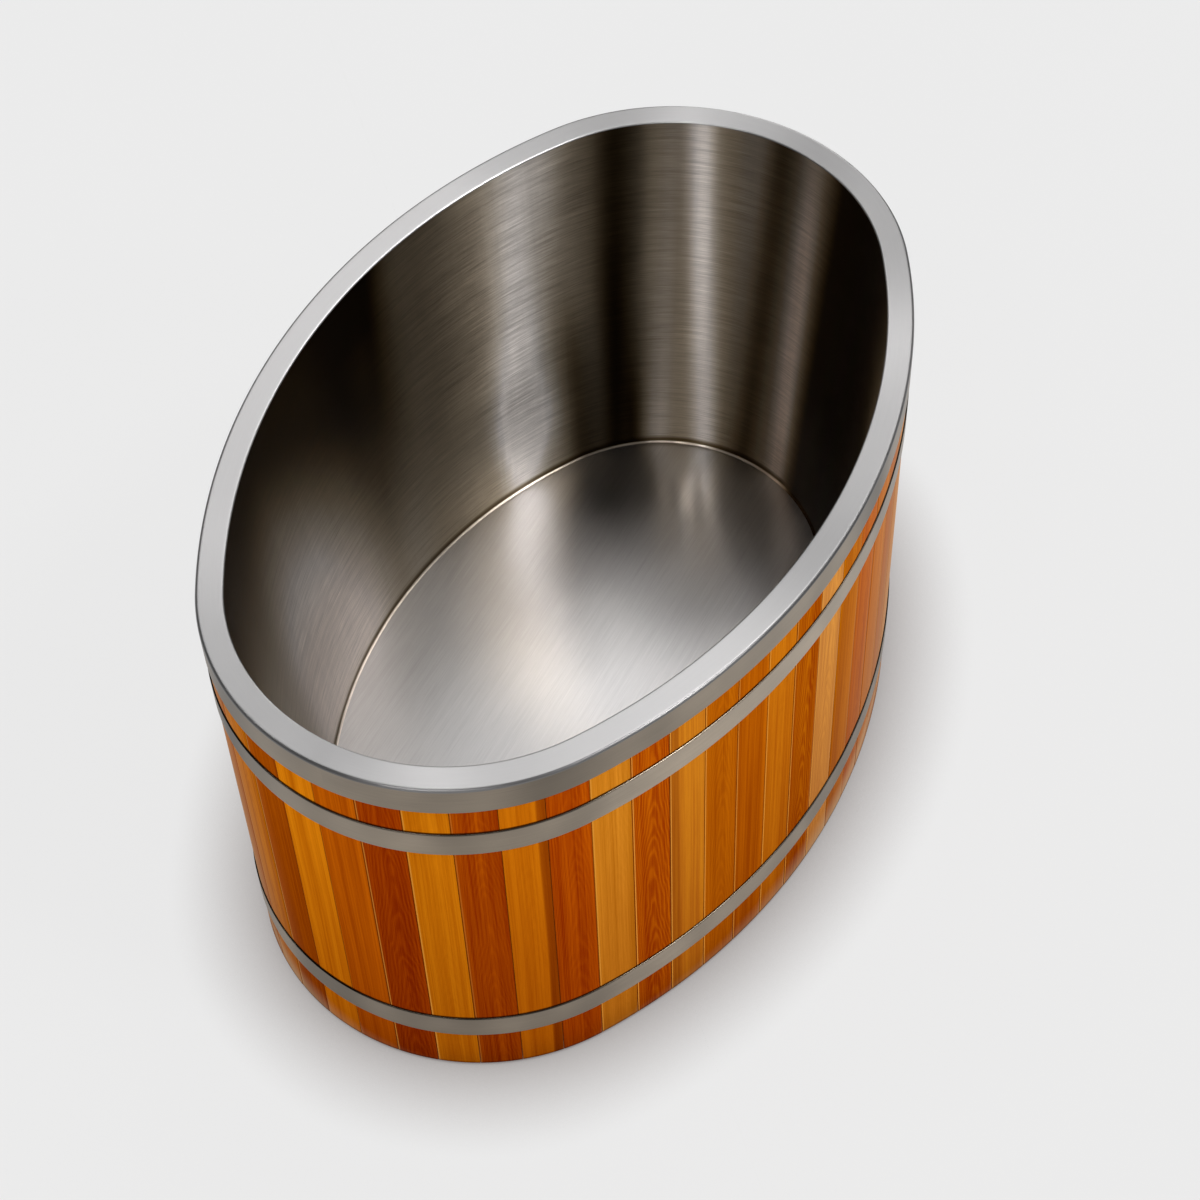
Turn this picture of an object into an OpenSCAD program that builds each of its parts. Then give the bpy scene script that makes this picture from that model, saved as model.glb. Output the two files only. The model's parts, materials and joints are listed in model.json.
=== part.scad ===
// Oval cold plunge tub: stainless basin in a cedar stave shell held by two hoops.
// +X runs along the long axis, +Z is up, the origin is on the ground under the
// centre of the oval.  All sizes in millimetres.

/* [Tub] */
// Overall length of the oval, along X
tub_len = 1300; // [1280:10:1360]
// Overall width of the oval, along Y
tub_wid = 860; // [850:5:880]
// Radius of the oval's two end arcs
end_r = 342; // [335:1:350]
// Overall height, ground to rim
tub_h = 720; // [690:5:820]
// Thickness of the stainless sheet
sheet = 2; // [1.5:0.5:2.5]

/* [Rim] */
// Width of the flat rim ring
rim_w = 38; // [38:1:44]
// Height of the turned-down apron under the rim
apron_h = 50; // [30:1:60]

/* [Basin] */
// Height of the basin floor above the ground
floor_z = 90; // [88:1:96]
// Size of the basin floor as a share of the basin mouth
basin_taper = 0.852; // [0.8:0.001:0.87]

/* [Staves] */
// Thickness of a stave
stave_t = 22; // [20:0.5:22]
// Height of the stave ends above the ground
stave_z = 6; // [4:1:10]
// Where the first stave joint sits, measured along the oval from its -X tip
stave_phase = -83.2; // [-90:0.1:-76]

/* [Hoops] */
// Height of each hoop band
hoop_h = 46; // [40:1:50]
// Top edge of the upper hoop
upper_hoop_top = 619; // [580:1:640]
// Top edge of the lower hoop
lower_hoop_top = 140; // [136:1:160]

/* [Base] */
// Distance of the bearers and feet from the long axis
bearer_y = 150; // [140:5:170]
// Distance between the rows of feet, along X
foot_step = 430; // [400:10:450]
// How far a levelling foot can be screwed out
foot_travel = 12; // [6:1:12]

/* [Drain] */
// Distance of the floor drain from the centre, towards -X
drain_x = 400; // [370:5:420]
// Outside diameter of the drain pipe
pipe_d = 28; // [22:1:28]
// Height of the drain pipe's centre line
pipe_z = 54; // [53:0.5:55]

/* [Hidden] */

stave_n = 56;                    // staves round the shell, in 28 matching pairs
ra = tub_len / 2;                // outside of rim and apron
rb = tub_wid / 2;
side_r = (pow(ra - end_r, 2) + rb * rb - end_r * end_r) / (2 * (rb - end_r));
end_c = ra - end_r;              // centres of the end arcs, on the X axis
side_c = side_r - rb;            // centres of the side arcs, on the Y axis
split = atan2(side_c, end_c);    // where end and side arcs meet
sb = rb - sheet;                 // outside of the staves, on the Y axis
ib = sb - stave_t;               // inside of the staves, on the Y axis
shell_o = sheet;                 // how far each layer lies inside the rim's edge
lining_o = sheet + stave_t + 0.5;
wall_h = tub_h - sheet - floor_z;
seal_t = 2;
stave_top = tub_h - sheet - seal_t;
board_z = 20;                    // underside of the base board
board_t = 16;
bearer_z = board_z + board_t;
bearer_h = 37;
bearer_w = 45;
deck_z = bearer_z + bearer_h;    // underside of the deck board
deck_t = floor_z - sheet - deck_z;
pipe_r = pipe_d / 2;
out_x = -9;                      // the outlet sits in the middle of one stave
out_r = 19;
foot_xy = [for (y = [-1, 1]) for (x = [-1, 0, 1]) [x * foot_step, y * bearer_y]];
rivet_x = [-28, -12, 12, 28];
cross_x = [-250, 200, 480];
screw_xy = [for (y = [-1, 1]) for (x = [-330, -150, 110, 330]) [x, y * bearer_y]];

cedar_dark = [0.56, 0.22, 0.06];
cedar_mid = [0.72, 0.36, 0.10];
cedar_light = [0.82, 0.52, 0.16];
cedar_pale = [0.86, 0.60, 0.30];
steel_top = [0.74, 0.75, 0.76];
steel_side = [0.56, 0.54, 0.51];
steel_in = [0.50, 0.48, 0.45];
plywood = [0.76, 0.62, 0.42];
pine = [0.84, 0.70, 0.48];
foam = [0.86, 0.84, 0.72];
rubber = [0.10, 0.10, 0.10];
plastic = [0.25, 0.26, 0.27];

// Tone of each stave pair, in order from the first joint round the near side
tones = [cedar_light, cedar_mid, cedar_dark, cedar_light, cedar_dark, cedar_light,
    cedar_dark, cedar_pale, cedar_dark, cedar_light, cedar_mid, cedar_mid,
    cedar_light, cedar_dark, cedar_pale, cedar_mid, cedar_dark, cedar_light,
    cedar_mid, cedar_pale, cedar_dark, cedar_mid, cedar_light, cedar_dark,
    cedar_mid, cedar_mid, cedar_light, cedar_mid];

// ---- oval geometry -------------------------------------------------------
// The oval is drawn with four arcs, two ends and two sides that meet in line.
// o moves its edge inwards, k scales the result, and m moves the edge outwards again
module oval2d(o = 0, k = 1, m = 0) {
    re = (end_r - o) * k + m;
    rs = (side_r - o) * k + m;
    c = end_c * k;
    f = 3 * rs * [cos(split), sin(split)];
    for (x = [-1, 1]) intersection() {
        translate([x * c, 0]) circle(r = re, $fn = 180);
        polygon([[x * c, 0], [x * (c + f[0]), -f[1]], [x * (c + f[0]), f[1]]]);
    }
    for (y = [-1, 1]) intersection() {
        translate([0, -y * side_c * k]) circle(r = rs, $fn = 360);
        polygon([[-c, 0], [c, 0], [c + f[0], y * f[1]], [-c - f[0], y * f[1]]]);
    }
}

// An upright oval slab
module oval(o, h, k = 1, m = 0) { linear_extrude(h) oval2d(o, k, m); }

// An oval band of thickness t
module oval_ring(o, t, h) {
    linear_extrude(h) difference() { oval2d(o); oval2d(o + t); }
}

// A body that tapers between two ovals of the same shape
module oval_taper(o, m, k0, z0, k1, z1) {
    hull() {
        translate([0, 0, z0]) linear_extrude(0.01) oval2d(o, k0, m);
        translate([0, 0, z1 - 0.01]) linear_extrude(0.01) oval2d(o, k1, m);
    }
}

// The shell's outside by running length, from the -X tip through the -Y side:
// each quarter is half an end arc and half a side arc
end_l = (end_r - shell_o) * split * PI / 180;
side_l = (side_r - shell_o) * (90 - split) * PI / 180;
quarter = end_l + side_l;
girth = 4 * quarter;
stave_w = girth / stave_n;
function wrap(s) = s - girth * floor(s / girth);
// Angle of the outward normal, measured from +X, for a length q from a tip
function turn(q) = q < end_l ? q / (end_r - shell_o) * 180 / PI
    : split + (q - end_l) / (side_r - shell_o) * 180 / PI;
function normal_at(s) = let (w = wrap(s), n = floor(w / quarter), q = w - n * quarter)
    n == 0 ? 180 + turn(q) : n == 1 ? 360 - turn(quarter - q)
    : n == 2 ? turn(q) : 180 - turn(quarter - q);
function corner(s) = let (g = normal_at(s), w = abs(cos(g)) > cos(split))
    w ? [sign(cos(g)) * end_c, 0] : [0, -sign(sin(g)) * side_c];
// A point at depth d inside the stave surface
function shell_point(s, d) = let (g = normal_at(s), w = abs(cos(g)) > cos(split))
    corner(s) + ((w ? end_r : side_r) - shell_o - d) * [cos(g), sin(g)];

// Plan of stave k: its joints stand square to the oval
module stave_plan(k) {
    s0 = stave_phase + k * stave_w;
    s1 = s0 + stave_w;
    intersection() {
        difference() { oval2d(shell_o); oval2d(shell_o + stave_t); }
        polygon([shell_point(s0, -6), shell_point(s1, -6),
            shell_point(s1, stave_t + 6), shell_point(s0, stave_t + 6)]);
    }
}

// One stave, with the cuts that reach it
module stave(k) {
    mid = shell_point(stave_phase + (k + 0.5) * stave_w, 0);
    at_back = mid[1] > 0 && abs(mid[0]) < 120;
    difference() {
        translate([0, 0, stave_z]) linear_extrude(stave_top - stave_z) stave_plan(k);
        if (at_back) {
            translate([out_x, sb - stave_t - 5, pipe_z]) rotate([-90, 0, 0])
                cylinder(r = out_r + 0.3, h = stave_t + 10, $fn = 64);
            for (z = [upper_hoop_top, lower_hoop_top] - [hoop_h, hoop_h] / 2)
                translate([-42, sb - 3.4, z - 19]) cube([84, 10, 38]);
        }
    }
}

// Two staves of the same cut, opposite each other
module stave_pair(i) {
    color(tones[i - 1]) {
        stave(i - 1);
        stave(i - 1 + stave_n / 2);
    }
}

// ---- stainless rim and basin ---------------------------------------------
module rim_ring() {
    color(steel_top) translate([0, 0, tub_h - sheet]) oval_ring(0, rim_w, sheet);
}

module rim_apron() {
    color(steel_side) translate([0, 0, tub_h - apron_h]) oval_ring(0, sheet, apron_h - sheet);
}

module rim_seal() {
    color(rubber) translate([0, 0, stave_top]) oval_ring(shell_o + 2, stave_t - 4, seal_t);
}

// The wall leans out evenly from the floor oval to the mouth oval
module basin_wall() {
    kf = basin_taper;
    d = (1 - kf) * 6 / wall_h;
    color(steel_in) difference() {
        oval_taper(rim_w, sheet, kf, floor_z, 1, floor_z + wall_h);
        oval_taper(rim_w, 0, kf - d, floor_z - 6, 1 + d, floor_z + wall_h + 6);
    }
}

module basin_floor() {
    color(steel_in) difference() {
        translate([0, 0, floor_z - sheet]) oval(rim_w, sheet, basin_taper, sheet);
        translate([-drain_x, 0, floor_z - sheet - 1]) cylinder(r = 20.6, h = sheet + 2, $fn = 64);
    }
}

// ---- hoops ---------------------------------------------------------------
module rivet_holes(r) {
    for (x = rivet_x) translate([x, sb - 6, 0]) rotate([-90, 0, 0]) cylinder(r = r, h = 12, $fn = 32);
}

module hoop(top) {
    translate([0, 0, top - hoop_h]) difference() {
        oval_ring(0, sheet, hoop_h);
        translate([-0.75, rb - 10, -1]) cube([1.5, 20, hoop_h + 2]);
        translate([0, 0, hoop_h / 2]) rivet_holes(2.6);
    }
}

module upper_hoop() { color(steel_side) hoop(upper_hoop_top); }

module lower_hoop() { color(steel_side) hoop(lower_hoop_top); }

// Curved plates let into the staves behind the hoop ends
module hoop_joint_plates() {
    color(steel_side) for (top = [upper_hoop_top, lower_hoop_top])
        translate([0, 0, top - hoop_h / 2]) difference() {
            intersection() {
                translate([0, 0, -18]) oval_ring(shell_o, sheet, 36);
                translate([-40, sb - 20, -19]) cube([80, 30, 38]);
            }
            rivet_holes(2.6);
        }
}

module hoop_rivets() {
    color(steel_top) for (top = [upper_hoop_top, lower_hoop_top]) for (x = rivet_x)
        translate([x, sb - 2.2, top - hoop_h / 2]) rotate([-90, 0, 0])
            cylinder(r = 2.5, h = 4.2, $fn = 32);
}

// ---- insulation, boards and bearers --------------------------------------
// A foam lining on the inside of the staves
module wall_insulation() {
    z0 = deck_z + deck_t + 0.2;
    color(foam) translate([0, 0, z0]) oval_ring(lining_o, 10, stave_top - 2 - z0);
}

// Foam blocks that fill the bays between the bearers, clear of the pipe
module floor_insulation() {
    h = bearer_h - 1;
    y1 = bearer_y - bearer_w / 2 - 2;
    color(foam) for (b = [[225, -y1, 455, y1], [40, -y1, 175, y1], [-225, -y1, -70, -22]])
        translate([b[0], b[1], bearer_z + 0.5]) cube([b[2] - b[0], b[3] - b[1], h]);
}

module deck_board() {
    color(plywood) difference() {
        translate([0, 0, deck_z]) oval(lining_o, deck_t);
        translate([-drain_x, 0, deck_z - 1]) cylinder(r = 44, h = deck_t + 2, $fn = 64);
        for (p = screw_xy) {
            translate([p[0], p[1], deck_z - 1]) cylinder(r = 2.6, h = deck_t + 2, $fn = 24);
            translate([p[0], p[1], deck_z + deck_t - 3]) cylinder(r = 5.2, h = 4, $fn = 32);
        }
        nut_relief();
    }
}

module base_board() {
    color(plywood) difference() {
        translate([0, 0, board_z]) oval(lining_o, board_t);
        for (p = foot_xy) translate([p[0], p[1], board_z - 1]) cylinder(r = 9.05, h = board_t + 2, $fn = 48);
        nut_relief();
    }
}

// Room for the outlet's nut in the edges of both boards
module nut_relief() {
    translate([out_x, ib - 24, pipe_z]) rotate([-90, 0, 0]) cylinder(r = 25, h = 60, $fn = 64);
}

module bearers() {
    l = 2 * 520;
    color(pine) for (y = [-bearer_y, bearer_y]) difference() {
        translate([-l / 2, y - bearer_w / 2, bearer_z]) cube([l, bearer_w, bearer_h]);
        for (p = foot_xy) translate([p[0], p[1], bearer_z - 1]) cylinder(r = 7, h = 5, $fn = 32);
        for (p = screw_xy) translate([p[0], p[1], bearer_z + 10]) cylinder(r = 2.6, h = bearer_h, $fn = 24);
        if (y > 0) translate([out_x, y - bearer_w, pipe_z]) rotate([-90, 0, 0])
            cylinder(r = pipe_r + 1, h = 2 * bearer_w, $fn = 48);
    }
}

module cross_bearers() {
    l = 2 * bearer_y - bearer_w;
    color(pine) for (x = cross_x) difference() {
        translate([x - bearer_w / 2, -l / 2, bearer_z]) cube([bearer_w, l, bearer_h]);
        if (x < 0) translate([x - bearer_w, 0, pipe_z]) rotate([0, 90, 0])
            cylinder(r = pipe_r + 1, h = 2 * bearer_w, $fn = 48);
    }
}

module deck_screws() {
    color(steel_top) for (p = screw_xy) translate([p[0], p[1], 0]) {
        translate([0, 0, deck_z + deck_t - 3]) cylinder(r = 5, h = 2.6, $fn = 32);
        translate([0, 0, bearer_z + 12]) cylinder(r = 2.5, h = deck_z + deck_t - 3 - bearer_z - 12 + 0.5, $fn = 24);
    }
}

// ---- levelling feet ------------------------------------------------------
// A round pad with a spanner flat and a threaded stem; it screws down out of its insert
module levelling_foot(i) {
    p = foot_xy[i - 1];
    color(plastic) translate([p[0], p[1], 0]) {
        cylinder(r = 24, h = 5, $fn = 64);
        translate([0, 0, 5]) cylinder(r1 = 22, r2 = 12, h = 3, $fn = 64);
        translate([0, 0, 7.9]) cylinder(r = 9, h = 3, $fn = 6);
        translate([0, 0, 7.9]) cylinder(r = 6, h = 30.6, $fn = 48);
    }
}

module foot_inserts() {
    color(steel_top) for (p = foot_xy) translate([p[0], p[1], 0]) difference() {
        union() {
            translate([0, 0, board_z - 2]) cylinder(r = 14, h = 2, $fn = 48);
            translate([0, 0, board_z - 0.5]) cylinder(r = 9, h = board_t - 1, $fn = 48);
        }
        translate([0, 0, board_z - 3]) cylinder(r = 6.05, h = board_t + 6, $fn = 48);
    }
}

module foot_locknuts() {
    color(steel_top) for (p = foot_xy) translate([p[0], p[1], board_z - 7.5]) difference() {
        cylinder(r = 10.5, h = 5.4, $fn = 6);
        translate([0, 0, -1]) cylinder(r = 6.05, h = 8, $fn = 48);
    }
}

// ---- drain ---------------------------------------------------------------
module drain_flange() {
    color(steel_top) translate([-drain_x, 0, 0]) {
        difference() {
            union() {
                translate([0, 0, floor_z]) cylinder(r1 = 42, r2 = 40, h = 2, $fn = 96);
                translate([0, 0, 62]) cylinder(r = 20, h = floor_z - 62 + 0.5, $fn = 64);
            }
            translate([0, 0, 61]) cylinder(r = 17, h = 40, $fn = 64);
            translate([0, 0, floor_z + 0.5]) cylinder(r1 = 20, r2 = 22, h = 2, $fn = 64);
        }
        for (a = [0, 90]) rotate([0, 0, a]) translate([-17.6, -1.5, 62]) cube([35.2, 3, 3]);
    }
}

module drain_gasket() {
    color(rubber) translate([-drain_x, 0, floor_z - sheet - 2]) difference() {
        cylinder(r = 40, h = 2, $fn = 64);
        translate([0, 0, -1]) cylinder(r = 20.2, h = 4, $fn = 64);
    }
}

module drain_locknut() {
    color(plastic) translate([-drain_x, 0, floor_z - sheet - 9]) difference() {
        union() {
            cylinder(r = 38, h = 7, $fn = 64);
            for (a = [0:60:300]) rotate([0, 0, a]) translate([34, -4, 0]) cube([7, 8, 7]);
        }
        translate([0, 0, -1]) cylinder(r = 20.2, h = 9, $fn = 64);
    }
}

// Drain body under the floor with a side socket for the pipe
module drain_elbow() {
    color(plastic) translate([-drain_x, 0, 0]) difference() {
        union() {
            translate([0, 0, bearer_z + 1.5]) cylinder(r = 24, h = 78 - bearer_z - 1.5, $fn = 64);
            translate([0, 0, pipe_z]) rotate([0, 90, 0]) cylinder(r = 16.4, h = 62, $fn = 64);
        }
        translate([0, 0, bearer_z + 4]) cylinder(r = 20.2, h = 80, $fn = 64);
        translate([0, 0, pipe_z]) rotate([0, 90, 0]) cylinder(r = 11.5, h = 30, $fn = 64);
        translate([28, 0, pipe_z]) rotate([0, 90, 0]) cylinder(r = pipe_r + 0.1, h = 40, $fn = 64);
    }
}

// One bent length: from the drain towards the middle, then out to the back
module drain_pipe() {
    bend = 40;
    x0 = -drain_x + 28.5;
    x1 = out_x - bend;
    y1 = ib - 2;
    module tube(l) { difference() {
        cylinder(r = pipe_r, h = l, $fn = 64);
        translate([0, 0, -1]) cylinder(r = pipe_r - 1.5, h = l + 2, $fn = 64);
    } }
    color(plastic) translate([0, 0, pipe_z]) {
        translate([x0, 0, 0]) rotate([0, 90, 0]) tube(x1 - x0);
        translate([x1, bend, 0]) rotate([0, 0, -90]) rotate_extrude(angle = 90, $fn = 96)
            translate([bend, 0]) difference() {
                circle(r = pipe_r, $fn = 64);
                circle(r = pipe_r - 1.5, $fn = 64);
            }
        translate([out_x, bend, 0]) rotate([-90, 0, 0]) tube(y1 - bend);
    }
}

// Flanged outlet through the back stave, threaded for a hose tail
module outlet_fitting() {
    color(steel_side) translate([out_x, 0, pipe_z]) rotate([-90, 0, 0]) difference() {
        union() {
            translate([0, 0, sb]) cylinder(r = 24, h = sheet, $fn = 96);
            translate([0, 0, ib - 18]) cylinder(r = out_r, h = rb - ib + 17, $fn = 64);
        }
        translate([0, 0, rb - 20]) cylinder(r = 15.15, h = 30, $fn = 64);
        translate([0, 0, ib - 20]) cylinder(r = 11.5, h = 60, $fn = 64);
        translate([0, 0, ib - 20]) cylinder(r = pipe_r + 0.1, h = 19, $fn = 64);
    }
}

module outlet_nut() {
    color(plastic) translate([out_x, ib - 9, pipe_z]) rotate([-90, 0, 0]) difference() {
        cylinder(r = 24, h = 8, $fn = 64);
        translate([0, 0, -1]) cylinder(r = out_r + 0.1, h = 10, $fn = 64);
    }
}

// Lift-out stopper with a low knob
module drain_stopper() {
    color(rubber) translate([-drain_x, 0, 0]) {
        translate([0, 0, floor_z - 8]) cylinder(r1 = 15.4, r2 = 16.6, h = 10.1, $fn = 64);
        translate([0, 0, floor_z + 2]) cylinder(r = 26, h = 3, $fn = 64);
        translate([0, 0, floor_z + 4.9]) cylinder(r1 = 24, r2 = 20, h = 2, $fn = 64);
        translate([0, 0, floor_z + 6.5]) cylinder(r = 5, h = 8, $fn = 32);
        translate([0, 0, floor_z + 13]) cylinder(r1 = 8, r2 = 10, h = 4, $fn = 48);
    }
}

// ---- assembly ------------------------------------------------------------
rim_ring();
rim_apron();
rim_seal();
basin_wall();
basin_floor();
upper_hoop();
lower_hoop();
hoop_joint_plates();
hoop_rivets();
wall_insulation();
floor_insulation();
deck_board();
base_board();
bearers();
cross_bearers();
deck_screws();
levelling_foot(1);  // levelling_foot_1
levelling_foot(2);  // levelling_foot_2
levelling_foot(3);  // levelling_foot_3
levelling_foot(4);  // levelling_foot_4
levelling_foot(5);  // levelling_foot_5
levelling_foot(6);  // levelling_foot_6
foot_inserts();
foot_locknuts();
drain_flange();
drain_gasket();
drain_locknut();
drain_elbow();
drain_pipe();
outlet_fitting();
outlet_nut();
drain_stopper();
stave_pair(1);  // stave_pair_01
stave_pair(2);  // stave_pair_02
stave_pair(3);  // stave_pair_03
stave_pair(4);  // stave_pair_04
stave_pair(5);  // stave_pair_05
stave_pair(6);  // stave_pair_06
stave_pair(7);  // stave_pair_07
stave_pair(8);  // stave_pair_08
stave_pair(9);  // stave_pair_09
stave_pair(10);  // stave_pair_10
stave_pair(11);  // stave_pair_11
stave_pair(12);  // stave_pair_12
stave_pair(13);  // stave_pair_13
stave_pair(14);  // stave_pair_14
stave_pair(15);  // stave_pair_15
stave_pair(16);  // stave_pair_16
stave_pair(17);  // stave_pair_17
stave_pair(18);  // stave_pair_18
stave_pair(19);  // stave_pair_19
stave_pair(20);  // stave_pair_20
stave_pair(21);  // stave_pair_21
stave_pair(22);  // stave_pair_22
stave_pair(23);  // stave_pair_23
stave_pair(24);  // stave_pair_24
stave_pair(25);  // stave_pair_25
stave_pair(26);  // stave_pair_26
stave_pair(27);  // stave_pair_27
stave_pair(28);  // stave_pair_28
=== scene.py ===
import json
import math
import random

import bmesh
import bpy
from mathutils import Matrix, Vector

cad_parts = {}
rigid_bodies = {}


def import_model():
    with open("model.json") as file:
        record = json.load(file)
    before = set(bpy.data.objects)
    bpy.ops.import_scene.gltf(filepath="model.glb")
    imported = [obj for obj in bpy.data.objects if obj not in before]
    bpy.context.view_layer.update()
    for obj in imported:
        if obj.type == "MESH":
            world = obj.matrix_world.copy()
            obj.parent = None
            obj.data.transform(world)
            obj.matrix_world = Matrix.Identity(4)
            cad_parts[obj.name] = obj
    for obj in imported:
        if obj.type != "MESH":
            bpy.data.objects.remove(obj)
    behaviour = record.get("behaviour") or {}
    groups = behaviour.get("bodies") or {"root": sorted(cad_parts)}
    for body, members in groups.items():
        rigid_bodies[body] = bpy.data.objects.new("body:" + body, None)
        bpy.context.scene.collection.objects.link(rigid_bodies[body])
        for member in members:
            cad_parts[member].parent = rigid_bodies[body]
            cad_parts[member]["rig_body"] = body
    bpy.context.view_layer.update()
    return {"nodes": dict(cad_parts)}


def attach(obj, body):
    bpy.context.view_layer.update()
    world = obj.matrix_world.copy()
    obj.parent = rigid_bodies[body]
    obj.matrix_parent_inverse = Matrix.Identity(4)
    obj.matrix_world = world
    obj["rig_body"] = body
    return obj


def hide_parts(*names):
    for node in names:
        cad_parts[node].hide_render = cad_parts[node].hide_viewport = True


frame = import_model()
NODES = frame["nodes"]
MM = 0.001

# ---------------------------------------------------------------- the oval
# Four arcs, as the frame has them.  o is how far a layer lies inside the rim's edge.
END_R, SIDE_R = 0.342, 0.925
END_C, SIDE_C = 0.308, 0.495
SPLIT = math.atan2(SIDE_C, END_C)
SHELL = 0.002
END_L = (END_R - SHELL) * SPLIT
SIDE_L = (SIDE_R - SHELL) * (math.pi / 2 - SPLIT)
QUARTER = END_L + SIDE_L
GIRTH = 4 * QUARTER
STAVES = 56
STAVE_W = GIRTH / STAVES
PHASE = -83.2 * MM
HEIGHT, RIM_W, APRON_H, SHEET = 0.720, 0.038, 0.050, 0.002
FLOOR_Z, TAPER = 0.090, 0.852
HOOP_H, HOOP_TOPS = 0.046, (0.619, 0.140)
STAVE_T, STAVE_LO, STAVE_HI = 0.022, 0.006, 0.716
OUT_X, PIPE_Z, DRAIN_X = -0.009, 0.054, -0.400


def place(s):
    """(centre of the arc, its radius, outward normal) at running length s from the -X tip through the -Y side."""
    w = s % GIRTH
    n, q = divmod(w, QUARTER)
    n = int(n) % 4
    if n % 2:
        q = QUARTER - q
    on_end = q < END_L
    a = q / (END_R - SHELL) if on_end else SPLIT + (q - END_L) / (SIDE_R - SHELL)
    nx, ny = -math.cos(a), -math.sin(a)
    if n in (1, 2):
        nx = -nx
    if n in (2, 3):
        ny = -ny
    if on_end:
        return math.copysign(END_C, nx), 0.0, END_R, nx, ny
    return 0.0, -math.copysign(SIDE_C, ny), SIDE_R, nx, ny


def at(s, o=0.0, k=1.0, m=0.0):
    cx, cy, r, nx, ny = place(s)
    r = (r - o) * k + m
    return cx * k + r * nx, cy * k + r * ny


def round_stations(n_end=60, n_side=44):
    out = []
    for n in range(4):
        local = [END_L * j / n_end for j in range(n_end)]
        local += [END_L + SIDE_L * j / n_side for j in range(n_side)]
        if n % 2:
            local = [QUARTER - q for q in reversed(local)]
            local = [q for q in local if q < QUARTER - 1e-9]
            local = [0.0] + [q for q in local if q > 1e-9]
        out += [n * QUARTER + q for q in local]
    out = sorted(set(round(s, 9) for s in out))
    return out


AROUND = round_stations()


# ---------------------------------------------------------------- meshes
def link(obj):
    bpy.context.scene.collection.objects.link(obj)
    return obj


def mesh_object(name, verts, faces, uvs=None, mats=(), face_mats=None, angle=35.0, flip_check=True):
    """uvs is one list of (u, v) per face, in the order of its corners, in metres along and across the grain."""
    me = bpy.data.meshes.new(name)
    me.from_pydata(verts, [], faces)
    if uvs is not None:
        layer = me.uv_layers.new(name="grain")
        flat = [c for f in uvs for uv in f for c in uv]
        layer.data.foreach_set("uv", flat)
    if face_mats is not None:
        me.polygons.foreach_set("material_index", face_mats)
    if flip_check:
        bm = bmesh.new()
        bm.from_mesh(me)
        bmesh.ops.recalc_face_normals(bm, faces=bm.faces)
        bm.to_mesh(me)
        bm.free()
    me.shade_smooth()
    if angle is not None:
        me.set_sharp_from_angle(angle=math.radians(angle))
    for m in mats:
        me.materials.append(m)
    me.update()
    return link(bpy.data.objects.new(name, me))


def sweep(name, profile, mats, stations=None, closed=True, angle=35.0, span=None, face_mat=None):
    """profile is a closed loop of (o, z) or (o, z, k, m).  Swept round the whole oval, or between two lengths with its ends capped."""
    prof = [tuple(p) + (1.0, 0.0)[len(p) - 2:] if len(p) < 4 else tuple(p) for p in profile]
    stations = list(stations or AROUND)
    whole = span is None
    if not whole:
        lo, hi = span
        inner = [s + t * GIRTH for t in (-1, 0, 1) for s in stations if lo + 1e-4 < s + t * GIRTH < hi - 1e-4]
        stations = [lo] + sorted(inner) + [hi]
    rows, n = len(stations), len(prof)
    verts = []
    for s in stations:
        for o, z, k, m in prof:
            x, y = at(s, o, k, m)
            verts.append((x, y, z))
    run = [0.0]
    for a, b in zip(prof, prof[1:] + prof[:1]):
        xa, ya = at(0.3, a[0], a[2], a[3])
        xb, yb = at(0.3, b[0], b[2], b[3])
        run.append(run[-1] + math.dist((xa, ya, a[1]), (xb, yb, b[1])))
    faces, uvs, fm = [], [], []
    ends = stations + ([GIRTH + stations[0]] if whole else [])
    for i in range(rows if whole else rows - 1):
        j = (i + 1) % rows
        for a in range(n if closed else n - 1):
            b = (a + 1) % n
            faces.append((i * n + a, j * n + a, j * n + b, i * n + b))
            u0, u1 = ends[i], ends[i + 1]
            uvs.append(((u0, run[a]), (u1, run[a]), (u1, run[a + 1]), (u0, run[a + 1])))
            fm.append(face_mat[a] if face_mat else 0)
    if not whole:
        for base, order in ((0, 1), ((rows - 1) * n, -1)):
            idx = list(range(n))[::order]
            faces.append(tuple(base + i for i in idx))
            uvs.append(tuple((prof[i][0], prof[i][1]) for i in idx))
            fm.append(0)
    return mesh_object(name, verts, faces, uvs, mats, fm, angle)


def arc(cx, cz, r, a0, a1, n):
    """Points (x, z) on an arc, angles in degrees."""
    return [(cx + r * math.cos(math.radians(a0 + (a1 - a0) * i / n)),
             cz + r * math.sin(math.radians(a0 + (a1 - a0) * i / n))) for i in range(n + 1)]


def rounded(points, r, n=4):
    """A closed loop of (x, y, radius or nothing) with its corners rounded."""
    out = []
    count = len(points)
    for i, p in enumerate(points):
        rad = p[2] if len(p) > 2 else r
        a = Vector(points[i - 1][:2]) - Vector(p[:2])
        b = Vector(points[(i + 1) % count][:2]) - Vector(p[:2])
        if rad <= 0:
            out.append((p[0], p[1]))
            continue
        half = a.angle(b) / 2
        d = min(rad / math.tan(half), 0.48 * a.length, 0.48 * b.length)
        rad = d * math.tan(half)
        c = Vector(p[:2]) + (a.normalized() + b.normalized()).normalized() * (rad / math.sin(half))
        p0 = Vector(p[:2]) + a.normalized() * d - c
        p1 = Vector(p[:2]) + b.normalized() * d - c
        turn = p0.angle_signed(p1)
        for j in range(n + 1):
            q = Matrix.Rotation(-turn * j / n, 2) @ p0
            out.append((c[0] + q[0], c[1] + q[1]))
    return out


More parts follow.
